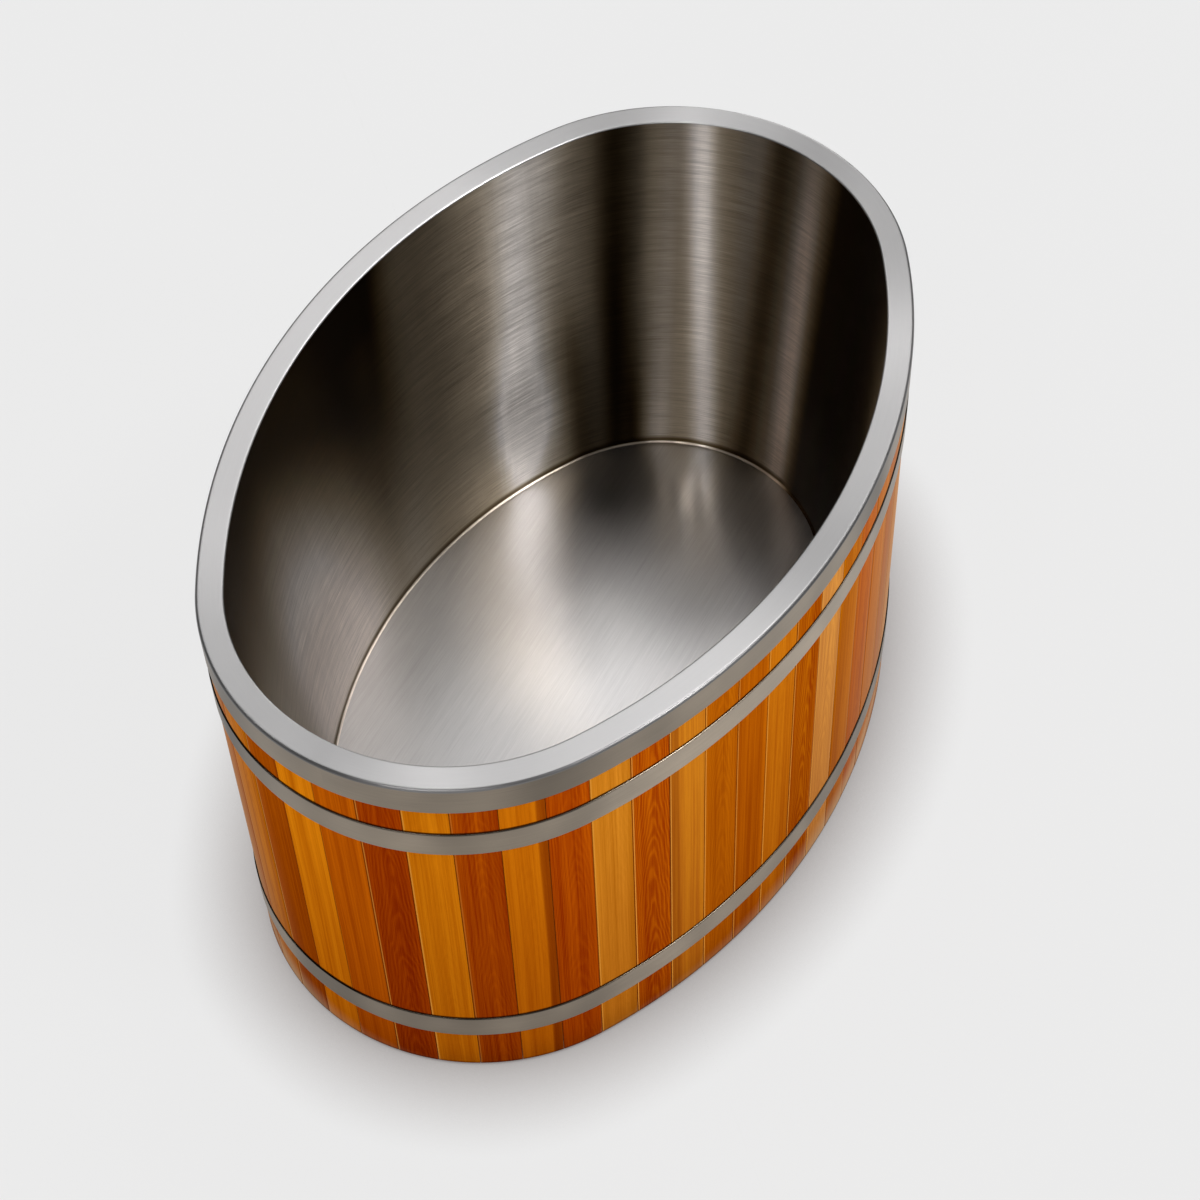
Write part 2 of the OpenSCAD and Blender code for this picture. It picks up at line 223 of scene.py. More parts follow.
def lathe(name, profile, mats, centre, axis="Z", n=96, angle=35.0, face_mat=None, wobble=None):
    """profile is a closed or open loop of (radius, height); a radius of 0 closes it at the axis."""
    verts, faces, uvs, fm = [], [], [], []
    rings = []
    for r, h in profile:
        if r < 1e-9:
            rings.append([len(verts)])
            verts.append((0.0, 0.0, h))
        else:
            ring = []
            for i in range(n):
                t = 2 * math.pi * i / n
                rr = r if wobble is None else wobble(r, h, t)
                ring.append(len(verts))
                verts.append((rr * math.cos(t), rr * math.sin(t), h))
            rings.append(ring)
    run = [0.0]
    for a, b in zip(profile, profile[1:]):
        run.append(run[-1] + math.dist(a, b))
    for a in range(len(profile) - 1):
        ra, rb = rings[a], rings[a + 1]
        for i in range(n):
            j = (i + 1) % n
            rad = max(profile[a][0], profile[a + 1][0])
            u0, u1 = 2 * math.pi * rad * i / n, 2 * math.pi * rad * (i + 1) / n
            if len(ra) == 1 and len(rb) == 1:
                continue
            if len(ra) == 1:
                faces.append((ra[0], rb[j], rb[i]))
                uvs.append(((u0, run[a]), (u1, run[a + 1]), (u0, run[a + 1])))
            elif len(rb) == 1:
                faces.append((ra[i], ra[j], rb[0]))
                uvs.append(((u0, run[a]), (u1, run[a]), (u0, run[a + 1])))
            else:
                faces.append((ra[i], ra[j], rb[j], rb[i]))
                uvs.append(((u0, run[a]), (u1, run[a]), (u1, run[a + 1]), (u0, run[a + 1])))
            fm.append(face_mat[a] if face_mat else 0)
    obj = mesh_object(name, verts, faces, uvs, mats, fm, angle)
    if axis == "Y":
        obj.data.transform(Matrix.Rotation(math.radians(-90), 4, "X"))
    elif axis == "X":
        obj.data.transform(Matrix.Rotation(math.radians(90), 4, "Y"))
    obj.data.transform(Matrix.Translation(Vector(centre)))
    return obj


def joined(name, parts):
    """One object of several meshes, in place."""
    bm = bmesh.new()
    mats = []
    for p in parts:
        me = p.data
        remap = []
        for m in me.materials:
            if m not in mats:
                mats.append(m)
            remap.append(mats.index(m))
        start = len(bm.faces)
        bm.from_mesh(me)
        bm.faces.ensure_lookup_table()
        for f in bm.faces[start:]:
            f.material_index = remap[f.material_index] if remap else 0
        bpy.data.objects.remove(p)
    me = bpy.data.meshes.new(name)
    bm.to_mesh(me)
    bm.free()
    for m in mats:
        me.materials.append(m)
    return link(bpy.data.objects.new(name, me))


def cut(obj, cutters):
    """Subtracts closed meshes from obj for good."""
    for c in cutters:
        mod = obj.modifiers.new("cut", "BOOLEAN")
        mod.operation = "DIFFERENCE"
        mod.solver = "EXACT"
        mod.object = c
    bpy.context.view_layer.update()
    dg = bpy.context.evaluated_depsgraph_get()
    done = bpy.data.meshes.new_from_object(obj.evaluated_get(dg), preserve_all_data_layers=True, depsgraph=dg)
    obj.modifiers.clear()
    obj.data = done
    for c in cutters:
        bpy.data.objects.remove(c)
    return obj


# ---------------------------------------------------------------- materials
def lin(r, g, b):
    f = lambda c: c / 12.92 if c <= 0.04045 else ((c + 0.055) / 1.055) ** 2.4
    return (f(r / 255), f(g / 255), f(b / 255), 1.0)


class Graph:
    def __init__(self, name):
        self.mat = bpy.data.materials.new(name)
        self.mat.use_nodes = True
        self.nt = self.mat.node_tree
        self.nt.nodes.clear()
        self.out = self.add("ShaderNodeOutputMaterial")
        self.bsdf = self.add("ShaderNodeBsdfPrincipled")
        self.nt.links.new(self.bsdf.outputs[0], self.out.inputs[0])

    def add(self, kind, **props):
        n = self.nt.nodes.new(kind)
        for k, v in props.items():
            setattr(n, k, v)
        return n

    def put(self, socket, value):
        if isinstance(value, bpy.types.NodeSocket):
            self.nt.links.new(value, socket)
        elif value is not None:
            socket.default_value = value

    def set(self, **values):
        for k, v in values.items():
            self.put(self.bsdf.inputs[k.replace("_", " ")], v)

    def math(self, op, a, b=None, c=None, clamp=False):
        n = self.add("ShaderNodeMath", operation=op, use_clamp=clamp)
        for s, v in zip(n.inputs, (a, b, c)):
            self.put(s, v)
        return n.outputs[0]

    def xyz(self, x, y, z=0.0):
        n = self.add("ShaderNodeCombineXYZ")
        for s, v in zip(n.inputs, (x, y, z)):
            self.put(s, v)
        return n.outputs[0]

    def grain(self):
        n = self.add("ShaderNodeUVMap", uv_map="grain")
        sep = self.add("ShaderNodeSeparateXYZ")
        self.put(sep.inputs[0], n.outputs[0])
        return sep.outputs[0], sep.outputs[1]

    def place(self):
        n = self.add("ShaderNodeTexCoord")
        sep = self.add("ShaderNodeSeparateXYZ")
        self.put(sep.inputs[0], n.outputs["Object"])
        return n.outputs["Object"], sep.outputs[0], sep.outputs[1], sep.outputs[2]

    def noise(self, vector, scale=1.0, detail=3.0, rough=0.5, distortion=0.0):
        n = self.add("ShaderNodeTexNoise")
        self.put(n.inputs["Vector"], vector)
        n.inputs["Scale"].default_value = scale
        n.inputs["Detail"].default_value = detail
        n.inputs["Roughness"].default_value = rough
        n.inputs["Distortion"].default_value = distortion
        return n.outputs[0]

    def span(self, value, lo, hi, out_lo=0.0, out_hi=1.0, smooth=False):
        n = self.add("ShaderNodeMapRange", clamp=True, interpolation_type="SMOOTHSTEP" if smooth else "LINEAR")
        for s, v in zip(n.inputs, (value, lo, hi, out_lo, out_hi)):
            self.put(s, v)
        return n.outputs[0]

    def mix(self, fac, a, b, blend="MIX"):
        n = self.add("ShaderNodeMix", data_type="RGBA", blend_type=blend)
        self.put(n.inputs[0], fac)
        self.put(n.inputs[6], a)
        self.put(n.inputs[7], b)
        return n.outputs[2]

    def colour_attribute(self, name):
        n = self.add("ShaderNodeAttribute", attribute_name=name)
        return n.outputs["Color"]

    def split(self, colour):
        n = self.add("ShaderNodeSeparateColor")
        self.put(n.inputs[0], colour)
        return n.outputs

    def bump(self, height, strength=0.1, distance=0.001, normal=None):
        n = self.add("ShaderNodeBump")
        n.inputs["Strength"].default_value = strength
        n.inputs["Distance"].default_value = distance
        self.put(n.inputs["Height"], height)
        if normal is not None:
            self.put(n.inputs["Normal"], normal)
        return n.outputs[0]


def brushed(name, colour, roughness, aniso, lines=1.0, streak=0.06, tone=0.10, rough_var=0.10, bump=0.05, waves=0.0, cloud=0.03, shaded=False, light_pools=(), falls=0.0):
    """Brushed stainless sheet.  The brushing runs along the map's u.  Where shaded, the mesh brings its own painted
    reflections and painted shade;
    pools are painted pools of reflected light and shade (x, y, half width, half depth, gain) by place."""
    g = Graph(name)
    u, v = g.grain()
    fine = g.noise(g.xyz(g.math("MULTIPLY", u, 14.0), g.math("MULTIPLY", v, 2600.0 * lines)), 1.0, 4.0, 0.7)
    mid = g.noise(g.xyz(g.math("MULTIPLY", u, 5.0), g.math("MULTIPLY", v, 620.0 * lines), 3.0), 1.0, 3.0, 0.6)
    broad = g.noise(g.xyz(g.math("MULTIPLY", u, 7.0), g.math("MULTIPLY", v, 9.0), 8.0), 1.0, 2.0, 0.5)
    grainy = g.math("ADD", g.math("MULTIPLY", fine, 0.68), g.math("MULTIPLY", mid, 0.32))
    dark = tuple(c * (1 - streak) for c in colour[:3]) + (1.0,)
    light = tuple(min(c * (1 + streak), 1.0) for c in colour[:3]) + (1.0,)
    base = g.mix(g.span(grainy, 0.36, 0.64), dark, light)
    shade = g.span(broad, 0.3, 0.7, 1 - tone, 1 + tone * 0.4)
    base = g.mix(1.0, base, g.xyz(shade, shade, shade), "MULTIPLY")
    # painted reflections and painted shade, carried by the mesh's 'shade' attribute
    if shaded:
        base = g.mix(1.0, base, g.colour_attribute("shade"), "MULTIPLY")
    if falls:
        fall = g.span(g.noise(g.xyz(g.math("MULTIPLY", u, 34.0), g.math("MULTIPLY", v, 0.5), 40.0), 1.0, 3.0, 0.6), 0.32, 0.68, 1 - falls, 1 + falls)
        base = g.mix(1.0, base, g.xyz(fall, fall, fall), "MULTIPLY")
    # painted pools of reflected light and shade on the sheet, by place
    if light_pools:
        pos, x, y, z = g.place()
        total = 0.43
        for cx, cy, rx, ry, gain in light_pools:
            dx = g.math("MULTIPLY", g.math("SUBTRACT", x, cx), 1 / rx)
            dy = g.math("MULTIPLY", g.math("SUBTRACT", y, cy), 1 / ry)
            d = g.math("MULTIPLY_ADD", dx, dx, g.math("MULTIPLY", dy, dy))
            total = g.math("ADD", total, g.math("MULTIPLY", g.math("EXPONENT", g.math("MULTIPLY", d, -1.0)), gain))
        base = g.mix(1.0, base, g.xyz(total, g.math("MULTIPLY", total, 0.980), g.math("MULTIPLY", total, 0.980)), "MULTIPLY")
    r = g.math("ADD", g.math("MULTIPLY", g.math("SUBTRACT", grainy, 0.5), rough_var * 2), g.span(broad, 0.3, 0.7, roughness - cloud, roughness + cloud))
    normal = g.bump(grainy, bump, 0.0004)
    if waves:
        slow = g.noise(g.xyz(g.math("MULTIPLY", u, 9.0), g.math("MULTIPLY", v, 11.0), 21.0), 1.0, 1.0, 0.4)
        normal = g.bump(slow, waves, 0.01, normal)
    tan = g.add("ShaderNodeTangent", direction_type="UV_MAP", uv_map="grain")
    g.set(Base_Color=base, Metallic=1.0, Roughness=r, Anisotropic=aniso, Anisotropic_Rotation=0.25, Normal=normal)
    g.put(g.bsdf.inputs["Tangent"], tan.outputs[0])
    return g.mat


def cedar():
    """Oiled cedar.  Each stave brings two tones, and in "look": figure, streaks and the strength of a painted arris
    highlight, and the tone of the strip in "strip".
    """
    g = Graph("cedar")
    u, v = g.grain()
    n = g.add("ShaderNodeUVMap", uv_map="board")
    sep = g.add("ShaderNodeSeparateXYZ")
    g.put(sep.inputs[0], n.outputs[0])
    across, along = sep.outputs[0], sep.outputs[1]
    tone_a, tone_b = g.colour_attribute("tone_a"), g.colour_attribute("tone_b")
    fig, streaky, glow = g.split(g.colour_attribute("look"))[:3]
    strip_at, strip_on, strip_side = g.split(g.colour_attribute("strip"))[:3]
    m = g.math
    bend = g.noise(g.xyz(m("MULTIPLY", u, 7.0), m("MULTIPLY", v, 1.1), 5.0), 1.0, 2.0, 0.5)
    uu = m("ADD", u, m("MULTIPLY", m("SUBTRACT", bend, 0.5), 0.012))
    fibre = g.span(g.noise(g.xyz(m("MULTIPLY", uu, 1300.0), m("MULTIPLY", v, 12.0)), 1.0, 4.0, 0.65), 0.3, 0.7)
    lines = g.span(g.noise(g.xyz(m("MULTIPLY", uu, 340.0), m("MULTIPLY", v, 1.8), 3.0), 1.0, 3.0, 0.6), 0.3, 0.7)
    bands = g.span(g.noise(g.xyz(m("MULTIPLY", uu, 62.0), m("MULTIPLY", v, 0.6), 9.0), 1.0, 3.0, 0.55), 0.3, 0.7)
    blotch = g.noise(g.xyz(m("MULTIPLY", u, 18.0), m("MULTIPLY", v, 3.0), 13.0), 1.0, 3.0, 0.55)
    # flat-sawn figure: rings that close into arches up the middle of the board
    wob = g.noise(g.xyz(m("MULTIPLY", u, 22.0), m("MULTIPLY", v, 4.5), 31.0), 1.0, 3.0, 0.5)
    para = m("MULTIPLY", m("POWER", m("ABSOLUTE", m("SUBTRACT", across, 0.12)), 1.6), 0.30)
    ring = m("ADD", m("ADD", v, para), m("MULTIPLY", m("SUBTRACT", wob, 0.5), 0.34))
    rings = m("POWER", m("MULTIPLY_ADD", m("SINE", m("MULTIPLY", ring, 120.0)), 0.5, 0.5), 1.6)
    straight = m("ADD", m("ADD", m("MULTIPLY", lines, 0.36), m("MULTIPLY", bands, 0.44)), m("MULTIPLY", fibre, 0.20))
    flat = m("ADD", m("ADD", m("MULTIPLY", rings, 0.26), m("MULTIPLY", bands, 0.20)), m("ADD", m("MULTIPLY", lines, 0.32), m("MULTIPLY", fibre, 0.22)))
    pattern = m("ADD", m("MULTIPLY", straight, m("SUBTRACT", 1.0, fig)), m("MULTIPLY", flat, fig))
    pattern = g.span(pattern, 0.28, 0.74)
    base = g.mix(pattern, tone_a, tone_b)
    # a slow gradient across and along each board, and warm clouds
    slow = g.span(blotch, 0.32, 0.70)
    base = g.mix(m("MULTIPLY", slow, 0.26), base, g.mix(1.0, base, (0.72, 0.55, 0.50, 1.0), "MULTIPLY"))
    # heart streaks
    streaks = g.span(g.noise(g.xyz(m("MULTIPLY", uu, 130.0), m("MULTIPLY", v, 0.8), 17.0), 1.0, 2.0, 0.5), 0.60, 0.76)
    base = g.mix(m("MULTIPLY", m("MULTIPLY", streaks, streaky), 0.60), base, g.mix(1.0, base, (0.62, 0.42, 0.32, 1.0), "MULTIPLY"))
    # sapwood or heartwood strip along one edge of some boards
    edge_wave = m("MULTIPLY", m("SUBTRACT", bend, 0.5), 0.5)
    inside = g.span(m("ADD", m("MULTIPLY", across, strip_side), edge_wave), m("SUBTRACT", strip_at, 0.05), m("ADD", strip_at, 0.05))
    base = g.mix(m("MULTIPLY", inside, strip_on), base, g.mix(1.0, base, (0.50, 0.33, 0.30, 1.0), "MULTIPLY"))
    pores = g.span(g.noise(g.xyz(m("MULTIPLY", uu, 2300.0), m("MULTIPLY", v, 55.0), 23.0), 1.0, 2.0, 0.5), 0.62, 0.74)
    base = g.mix(m("MULTIPLY", pores, 0.14), base, (0.06, 0.014, 0.001, 1.0))
    # painted shade: the boards darken towards the ground, and a little painted light lifts them higher up
    deep = g.span(along, 0.02, 0.60, 0.70, 1.08)
    base = g.mix(1.0, base, g.xyz(deep, m("POWER", deep, 1.3), m("POWER", deep, 1.5)), "MULTIPLY")
    # painted highlight on the arris along one edge of some boards
    arris_highlight = m("MULTIPLY", g.span(across, -0.972, -0.950), g.span(across, -0.895, -0.925))
    base = g.mix(m("MULTIPLY", arris_highlight, glow), base, (0.80, 0.34, 0.05, 1.0))
    # painted sheen: the oiled face is painted pale where it is seen at a low angle
    rim = g.add("ShaderNodeLayerWeight")
    rim.inputs["Blend"].default_value = 0.5
    grazing_sheen = m("MULTIPLY", m("POWER", g.span(rim.outputs["Facing"], 0.74, 1.0), 1.7), 0.65)
    base = g.mix(grazing_sheen, base, (0.68, 0.46, 0.27, 1.0))
    # dark oil and dust in the joints; painted shade in a line along the top of each hoop
    joint = g.span(m("ABSOLUTE", across), 0.966, 0.996)
    joint_dirt_and_shade = m("MULTIPLY", joint, 0.62)
    for top in (0.1400, 0.6190):
        off = m("SUBTRACT", along, top)
        hoop_top_shade = m("MULTIPLY", g.span(off, 0.0030, 0.0014), g.span(off, -0.004, -0.002))
        joint_dirt_and_shade = m("MAXIMUM", joint_dirt_and_shade, m("MULTIPLY", hoop_top_shade, 0.85))
    # painted shade along the top of the boards, under the apron
    joint_dirt_and_shade = m("MAXIMUM", joint_dirt_and_shade, m("MULTIPLY", g.span(along, 0.6670, 0.6695), 0.7))
    # painted shade along the foot of the boards
    joint_dirt_and_shade = m("MAXIMUM", joint_dirt_and_shade, m("MULTIPLY", g.span(along, 0.0125, 0.0065), 0.75))
    # joint dirt and painted shade darken to this colour
    base = g.mix(joint_dirt_and_shade, base, (0.018, 0.006, 0.002, 1.0))
    rough = m("ADD", g.span(fibre, 0.0, 1.0, 0.47, 0.37), m("MULTIPLY", pores, 0.12))
    height = m("ADD", m("MULTIPLY", fibre, 0.5), m("ADD", m("MULTIPLY", lines, 0.5), m("MULTIPLY", pores, -0.6)))
    g.set(Base_Color=base, Roughness=rough, IOR=1.45, Specular_IOR_Level=0.0, Normal=g.bump(height, 0.12, 0.0005))
    return g.mat


def board_wood(name, a, b, along="X", scale=1.0, ply=False):
    """Rough softwood or plywood seen from its own place in space."""
    g = Graph(name)
    pos, x, y, z = g.place()
    l, c = (x, y) if along == "X" else (y, x)
    bend = g.noise(pos, 3.0, 2.0, 0.5)
    cc = g.math("ADD", g.math("ADD", c, g.math("MULTIPLY", z, 0.7)), g.math("MULTIPLY", bend, 0.02))
    lines = g.noise(g.xyz(g.math("MULTIPLY", cc, 300.0 * scale), g.math("MULTIPLY", l, 3.0)), 1.0, 4.0, 0.6)
    bands = g.noise(g.xyz(g.math("MULTIPLY", cc, 60.0 * scale), g.math("MULTIPLY", l, 1.5), 4.0), 1.0, 3.0, 0.5)
    pat = g.span(g.math("ADD", g.math("MULTIPLY", lines, 0.5), g.math("MULTIPLY", bands, 0.5)), 0.33, 0.67)
    base = g.mix(pat, a, b)
    if ply:
        layer = g.math("FRACT", g.math("MULTIPLY", z, 357.0))
        edge = g.span(g.math("ABSOLUTE", g.math("SUBTRACT", layer, 0.5)), 0.30, 0.42)
        base = g.mix(g.math("MULTIPLY", edge, 0.35), base, tuple(k * 0.45 for k in a[:3]) + (1.0,))
    g.set(Base_Color=base, Roughness=g.span(lines, 0.3, 0.7, 0.72, 0.58), Normal=g.bump(lines, 0.25, 0.0005))
    return g.mat


def foam_mat():
    g = Graph("insulation_foam")
    pos, *_ = g.place()
    v = g.add("ShaderNodeTexVoronoi")
    g.put(v.inputs["Vector"], pos)
    v.inputs["Scale"].default_value = 420.0
    cell = v.outputs["Distance"]
    cloud = g.noise(pos, 14.0, 3.0, 0.5)
    base = g.mix(g.span(cloud, 0.3, 0.7), lin(226, 216, 176), lin(240, 233, 203))
    base = g.mix(g.span(cell, 0.0, 0.7, 0.25, 0.0), base, lin(196, 182, 138))
    g.set(Base_Color=base, Roughness=0.9, Normal=g.bump(cell, 0.4, 0.0008))
    return g.mat


def moulded(name, a, b, roughness=0.5, grain=900.0, bump=0.12):
    """Moulded plastic or rubber with a fine leathery texture."""
    g = Graph(name)
    pos, *_ = g.place()
    fine = g.noise(pos, grain, 2.0, 0.6)
    cloud = g.noise(pos, 30.0, 3.0, 0.55)
    base = g.mix(g.span(cloud, 0.3, 0.7), a, b)
    r = g.math("ADD", g.span(cloud, 0.3, 0.7, roughness - 0.06, roughness + 0.06), g.math("MULTIPLY", g.math("SUBTRACT", fine, 0.5), 0.2))
    g.set(Base_Color=base, Roughness=r, Normal=g.bump(fine, bump, 0.0003))
    return g.mat


def plated(name, a, b, roughness=0.3):
    g = Graph(name)
    pos, *_ = g.place()
    fine = g.noise(pos, 700.0, 3.0, 0.6)
    cloud = g.noise(pos, 55.0, 3.0, 0.6)
    base = g.mix(g.span(cloud, 0.3, 0.7), a, b)
    r = g.math("ADD", g.span(cloud, 0.3, 0.7, roughness - 0.05, roughness + 0.09), g.math("MULTIPLY", g.math("SUBTRACT", fine, 0.5), 0.15))
    g.set(Base_Color=base, Metallic=1.0, Roughness=r, Normal=g.bump(fine, 0.06, 0.0003))
    return g.mat


# the rim, sides and basin wall take painted reflections and painted shade from their meshes; the basin floor takes
# painted pools of reflected light and shade
STEEL_RIM = brushed("steel_rim_brushed", (0.90, 0.885, 0.885, 1.0), 0.34, 0.5, lines=0.9, streak=0.03, tone=0.03, rough_var=0.05, bump=0.02, shaded=True)
STEEL_SIDE = brushed("steel_side_brushed", (0.42, 0.352, 0.275, 1.0), 0.36, 0.75, lines=0.6, streak=0.12, tone=0.20, bump=0.06, shaded=True)
STEEL_BASIN = brushed("steel_basin_brushed", (0.95, 0.94, 0.93, 1.0), 0.32, 1.0, lines=0.20, streak=0.36, tone=0.03, bump=0.05, cloud=0.01, shaded=True, falls=0.035)
STEEL_FLOOR = brushed("steel_floor_brushed", (0.95, 0.95, 0.95, 1.0), 0.35, 0.5, lines=0.25, streak=0.12, tone=0.05, bump=0.03, cloud=0.01, light_pools=(
    (0.10, 0.16, 0.11, 0.09, -0.08), (0.02, -0.03, 0.14, 0.12, 0.17), (0.20, -0.09, 0.09, 0.08, -0.14), (0.285, 0.235, 0.07, 0.06, 0.03),
    (0.345, 0.135, 0.06, 0.05, -0.22), (0.425, 0.020, 0.05, 0.035, 0.22), (-0.09, 0.13, 0.10, 0.08, 0.05), (0.13, 0.06, 0.06, 0.05, 0.06), (0.40, 0.05, 0.05, 0.05, -0.06)))
CEDAR = cedar()
PLYWOOD = board_wood("exterior_plywood", lin(176, 134, 86), lin(212, 178, 128), ply=True)
PINE = board_wood("softwood_x", lin(196, 152, 92), lin(226, 190, 134), "X")
PINE_Y = board_wood("softwood_y", lin(196, 152, 92), lin(226, 190, 134), "Y")
FOAM = foam_mat()
RUBBER = moulded("black_rubber", lin(22, 22, 23), lin(34, 34, 35), 0.62, 500.0, 0.2)
BLACK = moulded("black_nylon", lin(20, 20, 22), lin(31, 31, 33), 0.45)
GREY = moulded("grey_pipe", lin(112, 115, 118), lin(132, 134, 136), 0.38, 300.0, 0.05)
ZINC = plated("zinc_plate", lin(178, 178, 172), lin(206, 204, 196))
FITTING = plated("cast_stainless", lin(186, 184, 180), lin(206, 205, 202), 0.26)

# ---------------------------------------------------------------- camera, floor and light
cam_data = bpy.data.cameras.new("camera")
cam_data.sensor_width = 36.0
cam_data.sensor_fit = "HORIZONTAL"
cam_data.lens = 2664.47 * 36.0 / 1200.0
cam_data.clip_start, cam_data.clip_end = 0.1, 200.0
camera = link(bpy.data.objects.new("camera", cam_data))
rows = ((0.466041, -0.88438, -0.02604), (0.710025, 0.356277, 0.607397), (-0.527892, -0.301561, 0.793971))
m = Matrix([[rows[j][i] for j in range(3)] for i in range(3)]).to_4x4()
m.translation = Vector((-2.08307, -1.22794, 3.45536))
camera.matrix_world = m
bpy.context.scene.camera = camera

scene = bpy.context.scene
scene.view_settings.view_transform = "Standard"
scene.view_settings.look = "None"

# the floor glows evenly; near the tub its glow is dimmed by ambient occlusion, a painted contact shadow with a warm
# tint
floor_g = Graph("studio_floor")
fpos, *_ = floor_g.place()
fcloud = floor_g.noise(fpos, 0.8, 2.0, 0.5)
near = floor_g.add("ShaderNodeAmbientOcclusion", samples=12)
near.inputs["Distance"].default_value = 0.15
near.inputs["Color"].default_value = (1.0, 1.0, 1.0, 1.0)
open_ = floor_g.math("POWER", near.outputs["AO"], 1.05)
tint = floor_g.xyz(open_, floor_g.math("POWER", open_, 1.08), floor_g.math("POWER", open_, 1.11))
glow = floor_g.mix(floor_g.span(fcloud, 0.3, 0.7), (0.808, 0.808, 0.808, 1.0), (0.812, 0.812, 0.812, 1.0))
floor_g.set(Base_Color=(0.05, 0.05, 0.05, 1.0), Roughness=0.9, Specular_IOR_Level=0.0,
            Emission_Color=floor_g.mix(1.0, glow, tint, "MULTIPLY"), Emission_Strength=0.96)
fm = bpy.data.meshes.new("floor")
fm.from_pydata([(-40, -40, 0), (40, -40, 0), (40, 40, 0), (-40, 40, 0)], [], [(0, 1, 2, 3)])
fm.materials.append(floor_g.mat)
floor = link(bpy.data.objects.new("floor", fm))

# a plain pale wall far behind the floor, for low views; it neither lights the object nor shades it
back_g = Graph("studio_backdrop")
bpos, *_ = back_g.place()
back_g.set(Base_Color=(0.0, 0.0, 0.0, 1.0), Roughness=1.0, Specular_IOR_Level=0.0, Emission_Strength=0.96,
           Emission_Color=back_g.mix(back_g.span(back_g.noise(bpos, 0.1, 2.0, 0.5), 0.3, 0.7), (0.812, 0.812, 0.812, 1.0), (0.816, 0.816, 0.816, 1.0)))
bm_ = bpy.data.meshes.new("backdrop")
ring = [(39 * math.cos(math.tau * k / 96), 39 * math.sin(math.tau * k / 96)) for k in range(96)]
bm_.from_pydata([(x, y, -0.5) for x, y in ring] + [(x, y, 36.0) for x, y in ring], [],
                [(k, (k + 1) % 96, 96 + (k + 1) % 96, 96 + k) for k in range(96)])
bm_.materials.append(back_g.mat)
backdrop = link(bpy.data.objects.new("backdrop", bm_))
backdrop.visible_diffuse = backdrop.visible_glossy = backdrop.visible_transmission = backdrop.visible_shadow = False

world = bpy.data.worlds.new("studio")
scene.world = world
world.use_nodes = True
wt = world.node_tree
wt.nodes.clear()
w_out = wt.nodes.new("ShaderNodeOutputWorld")
w_bg = wt.nodes.new("ShaderNodeBackground")
w_bg.inputs[1].default_value = 0.34
w_at = wt.nodes.new("ShaderNodeTexCoord")
w_sep = wt.nodes.new("ShaderNodeSeparateXYZ")
w_up = wt.nodes.new("ShaderNodeMapRange")
w_up.interpolation_type = "SMOOTHSTEP"
w_up.inputs[1].default_value, w_up.inputs[2].default_value = -0.30, 0.80
wt.links.new(w_at.outputs["Generated"], w_sep.inputs[0])
wt.links.new(w_sep.outputs[2], w_up.inputs[0])
wt.links.new(w_up.outputs[0], w_bg.inputs[0])
wt.links.new(w_bg.outputs[0], w_out.inputs[0])


def sun(name, az, el, strength, angle, colour=(1, 1, 1)):
    d = bpy.data.lights.new(name, "SUN")
    d.energy = strength
    d.angle = math.radians(angle)
    d.color = colour
    o = link(bpy.data.objects.new(name, d))
    a, e = math.radians(az), math.radians(el)
    to = Vector((math.cos(e) * math.cos(a), math.cos(e) * math.sin(a), math.sin(e)))
    o.rotation_euler = to.to_track_quat("Z", "Y").to_euler()
    return o


def card(name, at_, to, size, power, colour=(1, 1, 1), spread=180.0):
    d = bpy.data.lights.new(name, "AREA")
    d.shape = "RECTANGLE"
    d.size, d.size_y = size
    d.energy = power
    d.color = colour
    d.spread = math.radians(spread)
    o = link(bpy.data.objects.new(name, d))
    o.location = at_
    o.rotation_euler = (Vector(at_) - Vector(to)).to_track_quat("Z", "Y").to_euler()
    o.visible_camera = False
    return o


# soft boxes behind the tub and over it, and narrow tall strips on the camera's side
for name, az, el, strength, dia in (
    ("back_low", 16, 20, 0.37, 18),
    ("back_mid", 0, 62, 0.27, 20),
    ("back_mid_right", 344, 62, 0.18, 18),
    ("back_mid_left", 32, 52, 0.14, 24),
    ("back_left", 48, 62, 0.09, 18),
    ("side_right", 320, 43, 0.27, 16),
    ("side_left", 111, 50, 0.15, 5),
    ("strip_left", 280, 52, 0.70, 9),
    ("strip_left_low", 274, 32, 0.38, 9),
    ("strip_left_wide", 290, 52, 0.26, 9),
    ("strip_middle", 190, 50, 0.24, 5),
    ("strip_middle_low", 188, 22, 0.13, 7),
    ("strip_middle_far", 174, 50, 0.21, 5),
    ("strip_right", 206, 50, 0.14, 8),
    ("strip_right_low", 214, 20, 0.10, 9),
    ("front_left", 251, 32, 0.16, 12),
):
    sun(name, az, el, strength, dia)

# ---------------------------------------------------------------- painted reflections and painted shade of the steel
def step(x, a, b):
    t = min(max((x - a) / (b - a), 0.0), 1.0)
    return t * t * (3 - 2 * t)


def hump(i, c, w):
    """A soft bump round stave place c; the places run round the oval."""
    d = (i - c + STAVES / 2) % STAVES - STAVES / 2
    return math.exp(-(d / w) ** 2)


def wave(i, n, shift=0.0):
    return math.sin(2 * math.pi * n * i / STAVES + shift)


